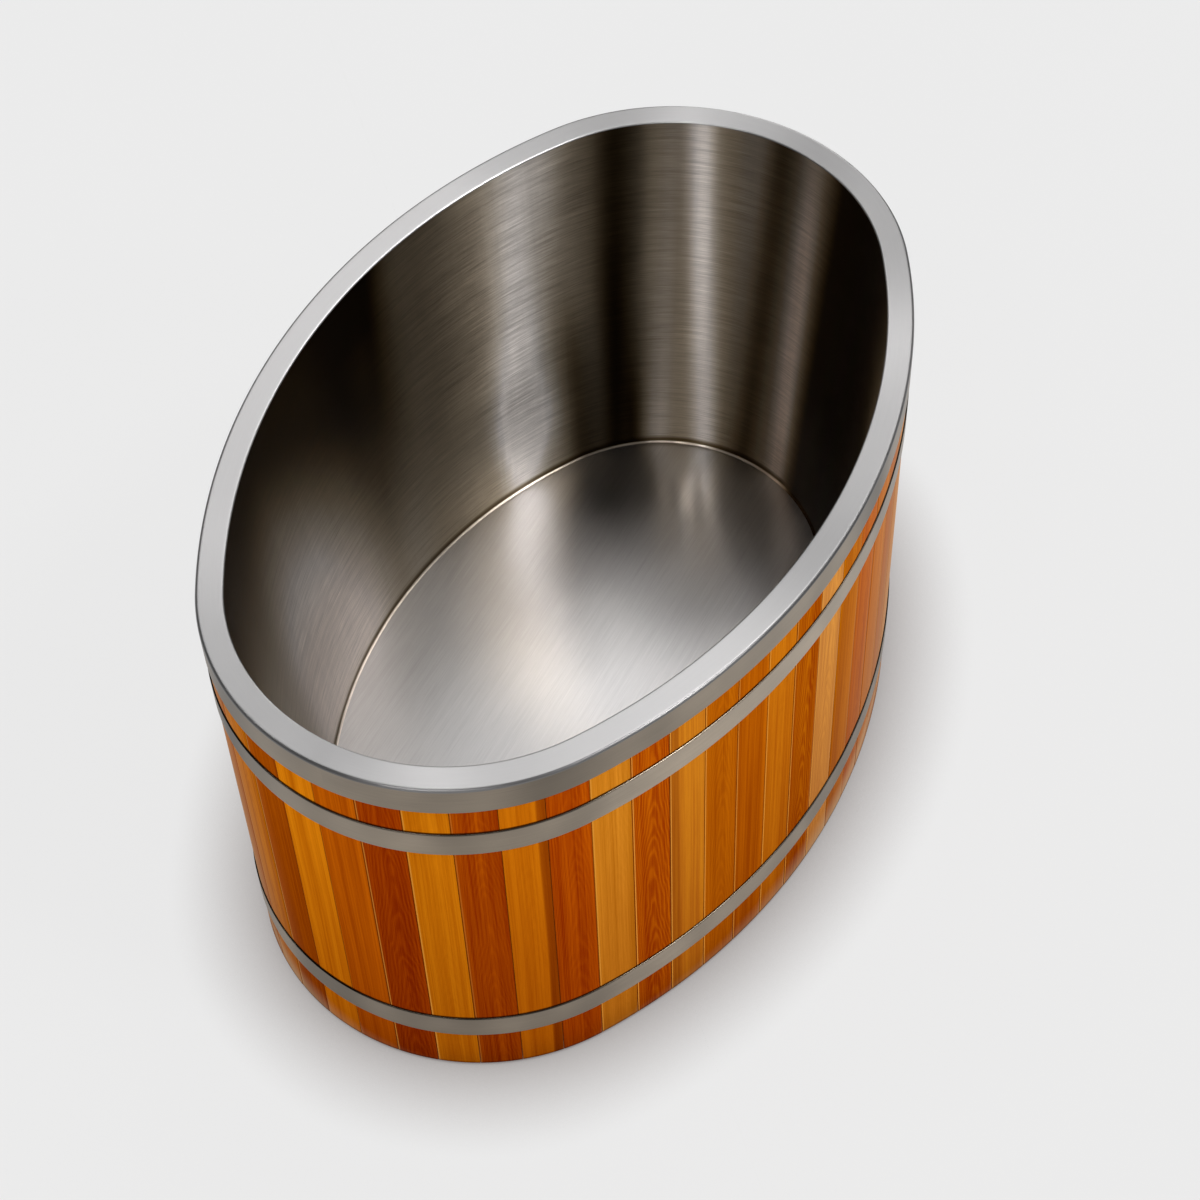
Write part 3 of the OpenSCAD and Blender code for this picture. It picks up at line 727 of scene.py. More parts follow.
def paint_light_and_shade(obj, tone, full=0.0, brown=None):
    """Painted reflections and painted shade of the sheet, by place, kept in its 'shade' attribute.  With full set, the
    darker a tone is against it, the warmer it is; brown warms it further by place."""
    layer = obj.data.color_attributes.new("shade", "FLOAT_COLOR", "POINT")
    for v in obj.data.vertices:
        t = min(max(tone(v.co), 0.01), 1.0)
        w = min(t / full, 1.0) if full else 1.0
        b = w * brown(v.co) if brown else 0.0
        layer.data[v.index].color = (t, t * w ** 0.16 * (0.935 if full else 1.0) * (1 - b), t * w ** 0.48 * (0.88 if full else 1.0) * (1 - 1.7 * b), 1.0)


def running(x, y):
    """Running length round the oval of the layer that passes through x, y, in stave widths."""
    a = abs(y) and math.atan2(abs(y), max(abs(x) - END_C, 1e-9))
    if abs(x) > END_C and a < SPLIT:
        q = a * (END_R - SHELL)
    else:
        q = END_L + (math.atan2(abs(y) + SIDE_C, abs(x)) - SPLIT) * (SIDE_R - SHELL)
    if x <= 0:
        s = q if y <= 0 else GIRTH - q
    else:
        s = 2 * QUARTER - q if y <= 0 else 2 * QUARTER + q
    return s / STAVE_W


# ---------------------------------------------------------------- rim
ring_profile = (
    [(0.0, 0.7155)] + [(x, z) for x, z in arc(0.0045, 0.7155, 0.0045, 180, 90, 8)][1:]
    + [(0.0062, 0.7200), (0.014, 0.7200), (0.024, 0.7200), (0.0332, 0.7200)]
    + [(x, z) for x, z in arc(0.0355, 0.7175, 0.0025, 90, 0, 6)]
    + [(0.0378, 0.7165), (0.0362, 0.7165)]
    + [(x, z) for x, z in arc(0.0355, 0.7175, 0.0006, 0, 90, 2)][:0]
    + [(0.0352, 0.7180), (0.0046, 0.7180)]
    + [(x, z) for x, z in arc(0.0045, 0.7155, 0.0025, 90, 180, 5)][1:-1]
    + [(0.0020, 0.7155)]
)
rim = sweep("rim_ring_steel", ring_profile, [STEEL_RIM])


def rim_painted_light(co):
    i = running(co.x, co.y)
    # painted reflections: soft light and dark bands round the rim
    t = 0.60 + 0.21 * step(i, 33.5, 37.5) * (1 - step(i, 48.5, 52.0))
    t += 0.12 * hump(i, 2.3, 1.1) - 0.20 * hump(i, 12.8, 2.4) + 0.25 * hump(i, 19.6, 2.0) - 0.15 * hump(i, 26.6, 1.9) + 0.12 * hump(i, 30.2, 0.8)
    t -= 0.10 * hump(i, 0.2, 1.2) + 0.07 * hump(i, 54.0, 1.8) + 0.06 * hump(i, 47.5, 3.2) + 0.05 * hump(i, 32.4, 1.0)
    # painted shade darkens the outer bend; the inner one keeps its tone and catches the light
    on_end = abs(co.x) > END_C and math.atan2(abs(co.y), abs(co.x) - END_C) < SPLIT
    deep = END_R - math.hypot(abs(co.x) - END_C, co.y) if on_end else SIDE_R - math.hypot(co.x, abs(co.y) + SIDE_C)
    return 0.775 * t * (1.0 if co.z > 0.71985 else 1.0 if deep > RIM_W / 2 else 0.46)


paint_light_and_shade(rim, rim_painted_light)
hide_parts("rim_ring")

lo = HEIGHT - APRON_H
apron_profile = (
    [(0.0, 0.7155), (0.0, 0.7100), (0.0, 0.6950), (0.0, 0.6800), (0.0, lo + 0.0022)]
    + [(0.0, lo + 0.0008)] + [(x, z) for x, z in arc(0.0008, lo + 0.0008, 0.0008, 180, 270, 3)][1:]
    + [(0.0016, lo), (0.0020, lo + 0.0004), (0.0020, 0.7155)]
)
apron = sweep("rim_apron_steel", apron_profile, [STEEL_SIDE])


def apron_painted_light(co):
    i = running(co.x, co.y)
    # painted reflections: soft light and dark bands along the apron
    t = 0.65 + 0.15 * hump(i, 10.4, 2.8) - 0.20 * hump(i, 5.0, 1.3) - 0.30 * hump(i, 15.2, 1.0) - 0.30 * hump(i, 53.0, 1.1) + 0.06 * hump(i, 55.2, 0.8)
    return t + 0.04 * wave(i, 21) + 0.02 * wave(i, 34, 1.0)


paint_light_and_shade(apron, apron_painted_light)
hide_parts("rim_apron")

# ---------------------------------------------------------------- basin
lean = math.radians(7.2)
fr = 0.0042
mc = fr * math.cos(lean) - fr * (1 - math.sin(lean)) * math.tan(lean)
wall = []
top_z, n_rows = 0.7175, 36
for i in range(n_rows + 1):
    z = top_z + (FLOOR_Z + fr * (1 - math.sin(lean)) - top_z) * i / n_rows
    t = (z - FLOOR_Z) / (0.718 - FLOOR_Z)
    wall.append((RIM_W, z, TAPER + (1 - TAPER) * t, 0.0))
wall[-1:-1] = [(RIM_W, z, TAPER + (1 - TAPER) * (z - FLOOR_Z) / (0.718 - FLOOR_Z), 0.0) for z in (0.1035, 0.0995, 0.0965)]
fillet = []
for i in range(1, 9):
    a = lean + (math.pi / 2 - lean) * i / 8
    fillet.append((RIM_W, FLOOR_Z + fr - fr * math.sin(a), TAPER, -(mc - fr * math.cos(a))))
outside = [(RIM_W, FLOOR_Z, TAPER, 0.0015)]
for i in range(6):
    z = FLOOR_Z + (0.716 - FLOOR_Z) * i / 5
    t = (z - FLOOR_Z) / (0.718 - FLOOR_Z)
    outside.append((RIM_W, z, TAPER + (1 - TAPER) * t, 0.0019))
basin = sweep("basin_wall_steel", wall + fillet + outside[1:], [STEEL_BASIN], angle=40)


def wall_painted_light(co):
    k = TAPER + (1 - TAPER) * min(max((co.z - FLOOR_Z) / 0.628, 0.0), 1.0)
    i = running(co.x / k, co.y / k)
    f = min(max((0.716 - co.z) / 0.626, 0.0), 1.0)
    # painted reflections and painted shade on the inside of the basin wall
    t = 0.38 + 0.26 * f * f * hump(i, 31.0, 0.6) + 0.31 * (1 - f) * hump(i, 28.0, 0.5) - 0.08 * f * hump(i, 28.1, 0.6)
    j = i + 0.6 * f * step(i, 28.5, 33.5)
    # painted shade on the long side on the left: dark under the rim, clearing towards the floor into a painted
    # reflection
    left = step(i, 39.0, 40.3 + 1.9 * f)
    rise = step(f + 0.06 * (min(i, 46.5) - 44.5), 0.13, 0.88 - 0.09 * step(i, 43.5, 45.0))
    near = 1 - 0.50 * step(i, 46.9, 49.4) + 0.14 * hump(i, 45.8, 1.3)
    dusk = 0.042 - 0.030 * hump(i, 41.8, 1.5)
    t += left * (dusk + (1.0 - 0.55 * hump(i, 41.4, 1.6)) * rise * near - t)
    t -= 0.07 * hump(i, 38.8, 1.5)
    t += 0.024 * hump(i, 41.0, 0.7) * step(f, 0.10, 0.25) * (1 - step(f, 0.45, 0.65))
    # painted reflection: the bright fall of light, and painted shade after it
    t += hump(i, 34.9 + 1.0 * f, 0.85) * (0.36 + 0.44 * step(f, 0.2, 0.7)) * (1 - 0.25 * step(f, 0.85, 1.0))
    t *= 1 + 0.95 * math.exp(-((f - 0.80) / 0.11) ** 2) * hump(i, 35.2, 0.95)
    t *= 1 + 1.0 * math.exp(-((f - 0.78) / 0.10) ** 2) * hump(i, 35.65, 0.6)
    t *= 1 - 0.34 * step(f, 0.72, 0.92) * hump(i, 36.55, 0.75)
    t *= 1 + 0.22 * (1 - step(f, 0.20, 0.45)) * hump(i, 35.7, 0.8)
    t += 0.14 * (1 - step(f, 0.10, 0.45)) * hump(i, 34.2, 0.5)
    t -= 0.24 * step(f, 0.35, 0.75) * hump(j, 34.05, 0.50)
    t -= (0.29 + 0.06 * step(f, 0.1, 0.6)) * hump(i, 32.15, 0.62 + 0.15 * f)
    t *= 1 + 0.5 * step(f, 0.4, 0.8) * hump(j, 33.00, 0.40)
    t *= 1 - 0.85 * step(f, 0.45, 0.90) * hump(j, 31.95, 0.55)
    # painted reflections: narrow falls of light on the far end
    t += 0.60 * hump(i, 29.75 - 0.75 * f, 0.40) + 0.13 * hump(i, 30.55, 0.30)
    t -= 0.28 * hump(i, 27.45, 0.55)
    t += 0.72 * hump(i, 26.30 - 0.25 * f, 0.40) * (0.50 + 0.50 * step(f, 0.0, 0.28))
    # painted shade over the near long side, opening a little under the rim
    open_ = (1 - step(f, 0.10, 0.45)) * (1 - step(i, 18.0, 22.0))
    t *= 1 - (0.94 - 0.54 * open_) * step(i, 8.0, 12.0) * (1 - step(i, 25.0, 26.0))
    # round the near end, back to the tone that the other side starts with
    t += (0.38 - t) * step(i, 52.6, 56.0)
    # painted shade over the line along the floor weld, and a painted highlight in it
    line = step(i, 25.2, 25.8) * (1 - step(i, 53.0, 56.0))
    t *= 1 - 0.75 * line * step(co.z, FLOOR_Z + 0.0130, FLOOR_Z + 0.0070)
    t += 0.48 * line * step(co.z, FLOOR_Z + 0.0028, FLOOR_Z + 0.0012)
    return max(t, 0.012)


def wall_painted_warmth(co):
    # warmer, browner colour of the painted reflections and shade, by place
    i = running(co.x, co.y)
    return 0.06 * step(i, 40.5, 43.5) * (1 - step(i, 48.5, 51.5)) * step(co.z, 0.42, 0.25) + 0.10 * (1 - step(i, 26.0, 27.2) + step(i, 52.6, 56.0)) + 0.03 * hump(i, 30.9, 0.8)


paint_light_and_shade(basin, wall_painted_light, 0.85, wall_painted_warmth)
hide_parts("basin_wall")


def floor_sheet():
    outer = [at(s, RIM_W, TAPER, -mc) for s in AROUND]
    hole = [(DRAIN_X + 0.0206 * math.cos(2 * math.pi * i / 64), 0.0206 * math.sin(2 * math.pi * i / 64)) for i in range(64)]
    bm = bmesh.new()
    loops = []
    for pts in (outer, hole):
        vs = [bm.verts.new((x, y, FLOOR_Z)) for x, y in pts]
        es = [bm.edges.new((vs[i], vs[(i + 1) % len(vs)])) for i in range(len(vs))]
        loops.append((vs, es))
    bmesh.ops.triangle_fill(bm, edges=[e for _, es in loops for e in es], use_beauty=True)
    top = list(bm.faces)
    got = bmesh.ops.extrude_face_region(bm, geom=top)
    for v in got["geom"]:
        if isinstance(v, bmesh.types.BMVert):
            v.co.z -= SHEET
    bmesh.ops.recalc_face_normals(bm, faces=bm.faces)
    layer = bm.loops.layers.uv.new("grain")
    for f in bm.faces:
        for l in f.loops:
            l[layer].uv = (l.vert.co.x, l.vert.co.y)
    me = bpy.data.meshes.new("basin_floor_steel")
    bm.to_mesh(me)
    bm.free()
    me.materials.append(STEEL_FLOOR)
    return link(bpy.data.objects.new("basin_floor_steel", me))


base = floor_sheet()
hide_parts("basin_floor")

# ---------------------------------------------------------------- hoops
BACK = 3 * QUARTER  # running length at x = 0 on the +Y side


def hoop(name, top):
    lo_, hi_ = top - HOOP_H, top
    prof = (
        [(0.0, hi_ - 0.0009)] + [(x, z) for x, z in arc(0.0007, hi_ - 0.0009, 0.0007, 180, 90, 3)][1:-1] + [(0.0007, hi_ - 0.0002)]
        + [(0.0010, hi_), (0.0013, hi_ - 0.0002), (0.0020, hi_ - 0.0016)]
        + [(0.0020, lo_ + 0.0008), (0.0016, lo_ + 0.0002), (0.0010, lo_)]
        + [(x, z) for x, z in arc(0.0008, lo_ + 0.0008, 0.0008, 270, 180, 3)][1:]
        + [(0.0, lo_ + 0.0030), (0.0, lo_ + 0.012), (0.0, lo_ + 0.023), (0.0, hi_ - 0.012), (0.0, hi_ - 0.0030)]
    )
    o = sweep(name, prof, [STEEL_SIDE], span=(BACK + 0.00075, BACK + GIRTH - 0.00075), angle=40)

    def tone(co):
        i = running(co.x, co.y)
        # painted reflections: soft light and dark bands along the hoop
        if top > 0.4:
            t = 0.71 + 0.34 * step(i, 4.9, 6.8) * (1 - step(i, 11.5, 17.0)) - 0.08 * hump(i, 4.8, 0.9) - 0.09 * hump(i, 3.0, 0.9) + 0.09 * hump(i, 7.2, 1.0) - 0.46 * hump(i, 53.0, 1.2)
        else:
            t = 0.62 + 0.18 * step(i, 4.0, 7.0) * (1 - step(i, 11.0, 13.5)) + 0.12 * hump(i, 7.0, 1.0) - 0.18 * hump(i, 55.2, 1.1) - 0.07 * hump(i, 2.6, 1.2) - 0.06 * hump(i, 13.6, 1.2)
        t += 0.05 * wave(i, 17, top * 9) + 0.04 * wave(i, 38)
        # painted shade darkens the top edge
        return t - (0.45 if co.z > top - 0.0012 else 0.0)

    paint_light_and_shade(o, tone)
    return o


for name, top in zip(("upper_hoop", "lower_hoop"), HOOP_TOPS):
    h = hoop(name + "_steel", top)
    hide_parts(name)

rivets = []
for top in HOOP_TOPS:
    for x in (-0.028, -0.012, 0.012, 0.028):
        y = math.sqrt((SIDE_R) ** 2 - x * x) - SIDE_C
        prof = [(0.0, 0.0008)] + [(0.0033 * math.sin(math.radians(a)), 0.0008 * math.cos(math.radians(a))) for a in (20, 40, 60, 75, 90)] + [(0.0025, -0.0002), (0.0025, -0.0040), (0.0, -0.0040)]
        rivets.append(lathe("rivet", prof, [FITTING], (x, y, top - HOOP_H / 2), axis="Y", n=32))
rivets = joined("hoop_rivet_heads", rivets)
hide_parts("hoop_rivets")

# ---------------------------------------------------------------- staves
TONES = {
    "dark": ((0.285, 0.026, 0.0003), (0.500, 0.084, 0.0008)),
    "mid": ((0.390, 0.068, 0.0005), (0.590, 0.132, 0.0015)),
    "light": ((0.510, 0.122, 0.0010), (0.720, 0.218, 0.0040)),
    "pale": ((0.540, 0.165, 0.0060), (0.760, 0.268, 0.0180)),
}
ORDER = (
    "light mid dark light dark light dark pale dark light mid mid light dark "
    "pale mid dark light mid pale dark mid light dark mid mid light mid").split()
rng = random.Random(20)


def between(a, b, t):
    return tuple(p + (q - p) * t for p, q in zip(a, b))


def stave(k, tone, figure, streak, drop, gain):
    """Mesh data of stave k: a rounded section that follows the shell, swept up, with eased ends."""
    s0 = PHASE + k * STAVE_W
    gap, r, ri = 0.00012, 0.0009, 0.0006
    w = STAVE_W
    section = [(gap + r - r * math.cos(math.radians(a)), drop + r - r * math.sin(math.radians(a))) for a in (0, 22, 45, 68, 90)]
    section += [(gap + r + (w - 2 * gap - 2 * r) * i / 12, drop) for i in range(1, 12)]
    section += [(w - gap - r + r * math.sin(math.radians(a)), drop + r - r * math.cos(math.radians(a))) for a in (0, 22, 45, 68, 90)]
    section += [(w - gap, STAVE_T - ri), (w - gap - ri, STAVE_T)]
    section += [(w - gap - ri - (w - 2 * gap - 2 * ri) * i / 8, STAVE_T) for i in range(1, 8)]
    section += [(gap + ri, STAVE_T), (gap, STAVE_T - ri)]
    n = len(section)
    levels = [(STAVE_LO, 0.0010), (STAVE_LO + 0.0003, 0.0004), (STAVE_LO + 0.0011, 0.0)]
    levels += [(STAVE_LO + 0.0011 + (STAVE_HI - STAVE_LO - 0.0022) * i / 12, 0.0) for i in range(1, 12)]
    levels += [(STAVE_HI - 0.0011, 0.0), (STAVE_HI, 0.0008)]
    mid_u, mid_d = w / 2, STAVE_T / 2
    verts, faces, uvs, boards = [], [], [], []
    shift = 1.7 * k
    for z, ease in levels:
        for x, d in section:
            xx = x + math.copysign(min(ease, abs(x - mid_u)), mid_u - x)
            dd = d + math.copysign(min(ease, abs(d - mid_d)), mid_d - d)
            px, py = at(s0 + xx, SHELL + dd)
            verts.append((px, py, z))
    def uv(i, row):
        x, d = section[i % n]
        return (x + shift + (0.35 * d), levels[row][0] + 0.37 * k)
    def board(i, row):
        x, d = section[i % n]
        return (2 * x / w - 1, levels[row][0])
    for row in range(len(levels) - 1):
        for i in range(n):
            j = (i + 1) % n
            faces.append((row * n + i, row * n + j, (row + 1) * n + j, (row + 1) * n + i))
            uvs.append((uv(i, row), uv(i + 1, row), uv(i + 1, row + 1), uv(i, row + 1)))
            boards.append((board(i, row), board(i + 1, row), board(i + 1, row + 1), board(i, row + 1)))
    last = len(levels) - 1
    faces.append(tuple(range(n))[::-1])
    faces.append(tuple(last * n + i for i in range(n)))
    for row, idx in ((0, list(range(n))[::-1]), (last, list(range(n)))):
        uvs.append(tuple((section[i][0] + shift, section[i][1] * 0.4 + 0.37 * k) for i in idx))
        boards.append(tuple(board(i, row) for i in idx))
    return verts, faces, uvs, boards


def stave_object(name, members):
    verts, faces, uvs, boards, tones = [], [], [], [], []
    for k, look in members:
        v, f, u, b = stave(k, look["tone"], look["figure"], look["streak"], look["drop"], look["gain"])
        base_ = len(verts)
        verts += v
        faces += [tuple(base_ + i for i in q) for q in f]
        uvs += u
        boards += b
        tones += [look] * len(f)
    me = bpy.data.meshes.new(name)
    me.from_pydata(verts, [], faces)
    for label, data in (("grain", uvs), ("board", boards)):
        layer = me.uv_layers.new(name=label)
        layer.data.foreach_set("uv", [c for q in data for p in q for c in p])
    for label in ("tone_a", "tone_b", "look", "strip"):
        att = me.color_attributes.new(name=label, type="FLOAT_COLOR", domain="CORNER")
        flat = []
        for look, q in zip(tones, faces):
            flat += list(look[label]) * len(q)
        att.data.foreach_set("color", flat)
    bm = bmesh.new()
    bm.from_mesh(me)
    bmesh.ops.recalc_face_normals(bm, faces=bm.faces)
    bm.to_mesh(me)
    bm.free()
    me.shade_smooth()
    me.set_sharp_from_angle(angle=math.radians(50))
    me.materials.append(CEDAR)
    return link(bpy.data.objects.new(name, me))


def look_of(k):
    tone = ORDER[k % 28]
    a, b = TONES[tone]
    g = GAINS.get(k, 1.0 + rng.uniform(-0.07, 0.07))
    warm = rng.uniform(-0.05, 0.05)
    warm = WARMTH.get(k, warm)
    # the painted sheen of some staves adds to their blue
    tint = lambda c: (c[0] * g, c[1] * g * (1 + warm), c[2] * g * (1 + 2 * warm) + STAVE_SHEEN.get(k, 0.0), 1.0)
    figure = rng.choice((0.0, 0.0, 0.15, 0.3, 0.5))
    if tone == "dark":
        figure = rng.choice((0.35, 0.6, 0.85))
    streak = rng.choice((0.1, 0.3, 0.6))
    strip = STRIPS.get(k, (1.2, 0.0, 1.0, 1.0))
    # the third channel of look is the strength of the painted arris highlight
    return {"tone": tone, "figure": figure, "streak": streak, "drop": rng.uniform(0.0, 0.00025), "gain": g,
            "tone_a": tint(a), "tone_b": tint(b), "look": (figure, streak, rng.choice((0.0, 0.25, 0.6, 0.8)), 1.0), "strip": strip}


GAINS = {55: 0.84, 0: 1.19, 1: 1.09, 2: 0.93, 5: 0.88, 6: 1.05, 8: 1.18, 13: 1.10, 15: 1.0, 16: 1.20, 17: 0.80, 18: 0.75, 19: 0.68, 7: 0.95, 14: 0.98}
# painted sheen: a pale lift of blue on some staves
STAVE_SHEEN = {9: 0.007, 12: 0.002, 14: 0.033, 42: 0.010, 37: 0.006}
WARMTH = {55: -0.08, 1: -0.05, 2: -0.10, 4: 0.08, 5: -0.10, 6: 0.06, 8: 0.30, 9: 0.15, 10: 0.15, 11: 0.08, 13: 0.55, 14: 0.20, 15: 0.30, 16: 0.42, 17: -0.12, 18: -0.19, 19: -0.26}
# (where the strip starts, from the middle at 0 to the edge at 1; how strong; which side; unused)
STRIPS = {5: (0.52, 0.85, 1.0, 1.0), 9: (0.42, 0.50, -1.0, 1.0), 34: (0.60, 0.7, -1.0, 1.0), 47: (0.45, 0.6, 1.0, 1.0)}
LOOKS = {k: look_of(k) for k in range(STAVES)}
for i in range(1, 29):
    members = [(i - 1, LOOKS[i - 1]), (i - 1 + 28, LOOKS[i - 1 + 28])]
    piece = stave_object(f"staves_{i:02d}", members)
    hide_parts(f"stave_pair_{i:02d}")

# ---------------------------------------------------------------- feet, drain and outlet
FOOT_XY = [(x, y) for y in (-0.150, 0.150) for x in (-0.430, 0.0, 0.430)]
BOARD_Z = 0.020


def hexagon(across_corners, chamfer_r=None, z_lo=0.0, z_hi=1.0, depth=0.001):
    """Turns a round section into a six-sided one whose ends are chamfered to a cone."""
    def shape(r, h, t):
        if r < across_corners * 0.8:
            return r
        a = t % (math.pi / 3) - math.pi / 6
        flat = across_corners * math.cos(math.pi / 6)
        rr = flat / math.cos(a)
        near = min(h - z_lo, z_hi - h)
        return min(rr, flat * 1.02 + max(near, 0.0) * 1.9)
    return shape


def screw_thread(radius, pitch, depth, z0, z1, hand=1):
    """A thread: a single start cut round a rod (or, with a negative depth, inside a bore)."""
    def shape(r, h, t):
        if abs(r - radius) > 1e-6 or not z0 < h < z1:
            return r
        ph = ((h / pitch) - hand * t / (2 * math.pi)) % 1.0
        wave = abs(2 * ph - 1)
        return r - depth * min(max((wave - 0.15) / 0.7, 0.0), 1.0)
    return shape


def foot_parts(n, x, y):
    pad = [(0.0, 0.0), (0.0190, 0.0), (0.0215, 0.0), (0.0222, 0.0002), (0.0235, 0.0012), (0.0240, 0.0022), (0.0240, 0.0038),
           (0.0236, 0.0047), (0.0228, 0.0052), (0.0205, 0.0056), (0.0170, 0.0064), (0.0135, 0.0074), (0.0120, 0.0079),
           (0.0112, 0.0080), (0.0062, 0.0080), (0.0, 0.0080)]
    ribs = lambda r, h, t: r - (0.00045 * max(0.0, math.cos(24 * t)) ** 2 if 0.0225 < r and 0.0015 < h < 0.0045 else 0.0)
    body = lathe(f"pad_{n}", pad, [BLACK], (x, y, 0), n=144, wobble=ribs, angle=40)
    nut = lathe(f"nut_{n}", [(0.0, 0.0079)] + [(0.0078, 0.0079)] + [(0.0090, 0.0079 + 0.0030 * i / 8) for i in range(9)] + [(0.0074, 0.0109), (0.0, 0.0109)],
                [ZINC], (x, y, 0), n=96, wobble=hexagon(0.0090, z_lo=0.0079, z_hi=0.0109), angle=30)
    z0, z1 = 0.0109, 0.0385
    rows_ = int((z1 - z0 - 0.0012) / 0.00025)
    stem = [(0.0, z0 - 0.0005), (0.0050, z0 - 0.0005), (0.0052, z0)] + [(0.0060, z0 + 0.0003 + 0.00025 * i) for i in range(rows_)] + [(0.0051, z1 - 0.0004), (0.0046, z1), (0.0, z1)]
    rod = lathe(f"rod_{n}", stem, [ZINC], (x, y, 0), n=40, wobble=screw_thread(0.0060, 0.00175, 0.0009, z0 + 0.0004, z1 - 0.0010), angle=None)
    return body, joined(f"foot_stem_{n}", [nut, rod])


for i, (x, y) in enumerate(FOOT_XY, 1):
    pad, stem = foot_parts(i, x, y)
    pad.name = f"foot_pad_{i}"
    for piece, slot_name in ((pad, "black_plastic"), (stem, "zinc")):
        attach(piece, f"foot_{i}")
        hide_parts(f"levelling_foot_{i}")

inserts, nuts = [], []
for x, y in FOOT_XY:
    prof = [(0.00605, BOARD_Z - 0.0020), (0.0068, BOARD_Z - 0.0020), (0.0132, BOARD_Z - 0.0020), (0.0137, BOARD_Z - 0.0018), (0.0140, BOARD_Z - 0.0013),
            (0.0140, BOARD_Z), (0.0090, BOARD_Z), (0.0090, BOARD_Z + 0.0145), (0.00605, BOARD_Z + 0.0145), (0.00605, BOARD_Z - 0.0020)]
    notch = lambda r, h, t: r - (0.0007 * max(0.0, math.cos(12 * t)) ** 4 if r > 0.0135 else 0.0)
    inserts.append(lathe("insert", prof, [ZINC], (x, y, 0), n=96, wobble=notch, angle=30))
    z0 = BOARD_Z - 0.0075
    prof = [(0.00605, z0)] + [(0.0090, z0)] + [(0.0105, z0 + 0.0054 * j / 10) for j in range(11)] + [(0.0090, z0 + 0.0054), (0.00605, z0 + 0.0054), (0.00605, z0)]
    nuts.append(lathe("nut", prof, [ZINC], (x, y, 0), n=96, wobble=hexagon(0.0105, z_lo=z0, z_hi=z0 + 0.0054), angle=30))
piece = joined("threaded_inserts", inserts)
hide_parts("foot_inserts")
piece = joined("hex_locknuts", nuts)
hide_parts("foot_locknuts")

# the drain's flange: a dished ring with a conical seat, and the cross that stops hair and cloths
prof = ([(0.0195, 0.0625), (0.0200, 0.0630), (0.0200, 0.0900), (0.0415, 0.0900), (0.0420, 0.0902), (0.0418, 0.0908), (0.0408, 0.0915), (0.0392, 0.0919), (0.0370, 0.0920),
         (0.0260, 0.0920), (0.0235, 0.0919), (0.0222, 0.0916), (0.0215, 0.0911), (0.0200, 0.0903), (0.0180, 0.0890), (0.0172, 0.0882), (0.0170, 0.0872), (0.0170, 0.0625), (0.0172, 0.0620), (0.0193, 0.0620), (0.0195, 0.0625)])
ring = lathe("ring", prof, [FITTING], (DRAIN_X, 0, 0), n=128, angle=40)
bars = []
for turn in (0, 90):
    section = rounded([(-0.0015, 0.0), (0.0015, 0.0), (0.0015, 0.0030), (-0.0015, 0.0030)], 0.0006, 3)
    nn = len(section)
    verts = [(x, y, 0.062 + z) for x in (-0.0171, 0.0171) for y, z in section]
    faces = [(i, (i + 1) % nn, nn + (i + 1) % nn, nn + i) for i in range(nn)] + [tuple(range(nn))[::-1], tuple(range(nn, 2 * nn))]
    uvs = [tuple((verts[i][0], verts[i][1] + verts[i][2]) for i in f) for f in faces]
    bar = mesh_object("bar", verts, faces, uvs, [FITTING], angle=40)
    bar.data.transform(Matrix.Translation((DRAIN_X, 0, 0)) @ Matrix.Rotation(math.radians(turn), 4, "Z"))
    bars.append(bar)
piece = joined("drain_flange_ring", [ring] + bars)
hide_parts("drain_flange")

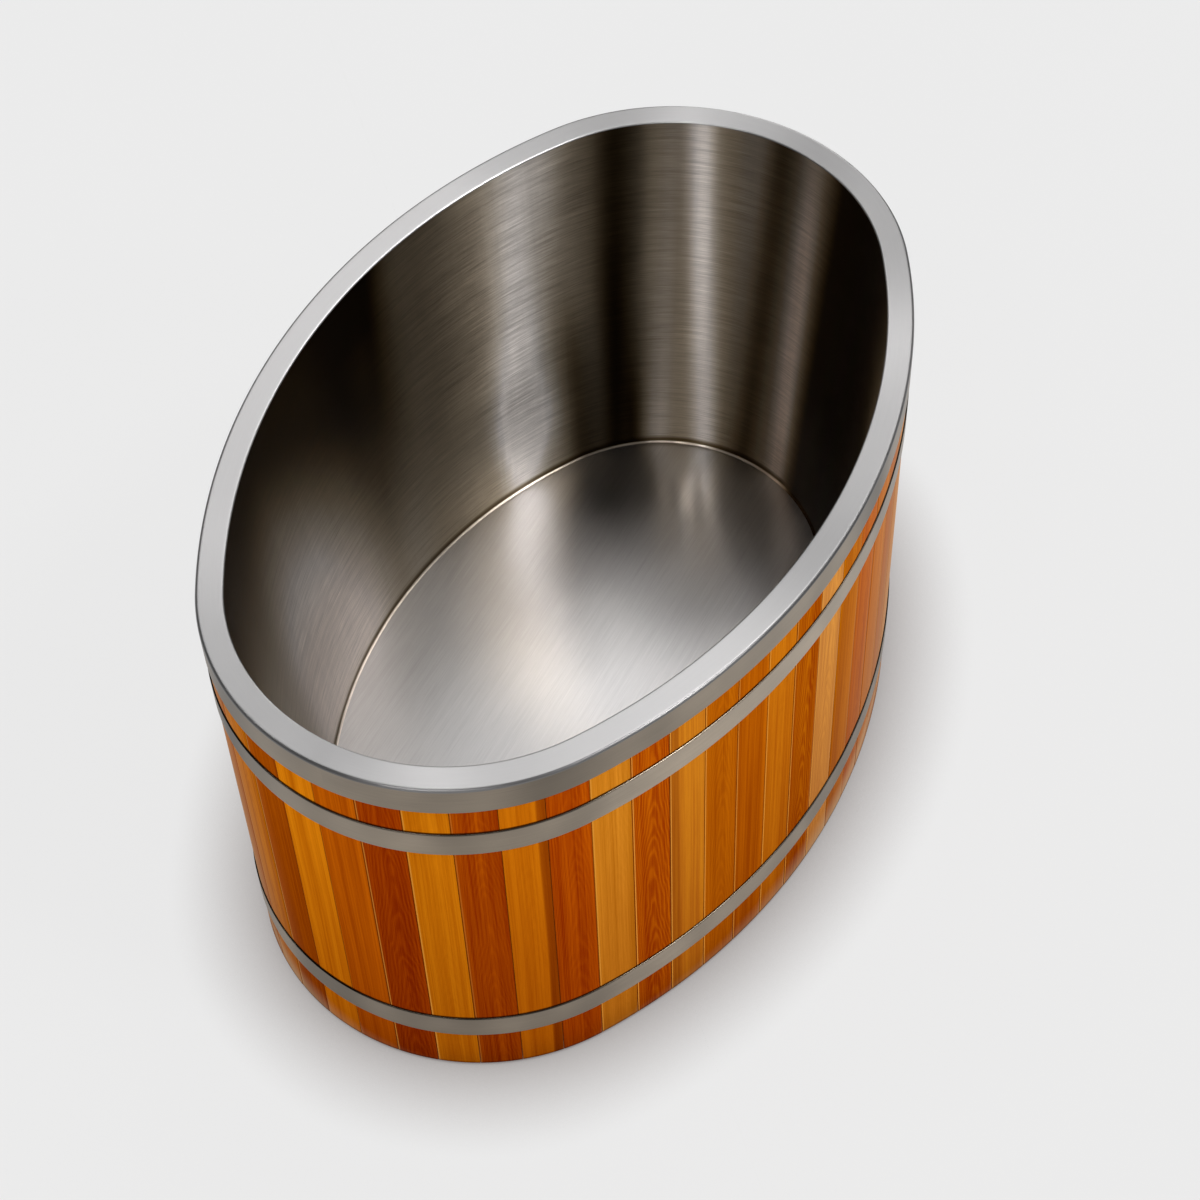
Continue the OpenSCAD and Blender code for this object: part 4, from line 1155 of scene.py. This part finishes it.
# the stopper: moulded plug with sealing ribs, a domed cap with a raised rim, and a turned knob
prof = ([(0.0, 0.0822), (0.0140, 0.0822), (0.0150, 0.0826), (0.0154, 0.0834), (0.0155, 0.0845), (0.0158, 0.0849), (0.0157, 0.0856), (0.0160, 0.0861), (0.0159, 0.0870), (0.0163, 0.0875),
         (0.0162, 0.0885), (0.0165, 0.0890), (0.0165, 0.0900), (0.0166, 0.0921), (0.0245, 0.0921), (0.0255, 0.0923), (0.0260, 0.0929), (0.0260, 0.0940), (0.0257, 0.0946), (0.0250, 0.0950),
         (0.0238, 0.0953), (0.0226, 0.0960), (0.0212, 0.0966), (0.0195, 0.0968), (0.0120, 0.0968), (0.0075, 0.0969), (0.0058, 0.0973), (0.0051, 0.0982), (0.0049, 0.0995), (0.0050, 0.1010), (0.0056, 0.1022),
         (0.0070, 0.1030), (0.0084, 0.1036), (0.0093, 0.1045), (0.0098, 0.1056), (0.0097, 0.1063), (0.0091, 0.1068), (0.0080, 0.1070), (0.0040, 0.1067), (0.0, 0.1066)])
grip = lambda r, h, t: r - (0.00035 * max(0.0, math.cos(18 * t)) ** 2 if h > 0.1035 and r > 0.0088 else 0.0)
piece = lathe("drain_stopper_plug", prof, [RUBBER], (DRAIN_X, 0, 0), n=144, wobble=grip, angle=45)
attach(piece, "stopper")
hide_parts("drain_stopper")

# the outlet through the back stave: a dished flange round a threaded socket
prof = ([(0.0151 + 0.0005, 0.4300 - 0.0006), (0.0158, 0.4297), (0.0170, 0.4300), (0.0222, 0.4300), (0.0232, 0.4297), (0.0238, 0.4291), (0.0240, 0.4284), (0.0240, 0.4279),
         (0.0190, 0.4279), (0.0190, 0.3900), (0.0188, 0.3881), (0.0142, 0.3881), (0.0141, 0.3890), (0.0141, 0.4050), (0.0116, 0.4052), (0.0116, 0.4098), (0.0151 + 0.0001, 0.4100)]
        + [(0.01515 + 0.0007, 0.4103 + 0.00030 * i) for i in range(63)] + [(0.0151 + 0.0005, 0.4300 - 0.0006)])
piece = lathe("outlet_socket", prof, [FITTING], (OUT_X, 0, PIPE_Z), axis="Y", n=128, wobble=screw_thread(0.01585, 0.0023, 0.0007, 0.4104, 0.4290), angle=40)
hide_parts("outlet_fitting")

# ---------------------------------------------------------------- CAD nodes that stay
KEPT = {
    "rim_seal": RUBBER, "hoop_joint_plates": FITTING, "wall_insulation": FOAM, "floor_insulation": FOAM,
    "deck_board": PLYWOOD, "base_board": PLYWOOD, "bearers": PINE, "cross_bearers": PINE_Y, "deck_screws": ZINC,
    "drain_gasket": RUBBER, "drain_locknut": BLACK, "drain_elbow": BLACK, "drain_pipe": GREY, "outlet_nut": BLACK,
}
for name, mat in KEPT.items():
    for slot_ in NODES[name].material_slots:
        slot_.material = mat

for o in list(bpy.context.scene.objects):
    if o.type == "MESH" and o.name not in NODES and o.name not in ("floor", "backdrop") and "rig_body" not in o:
        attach(o, "tub")
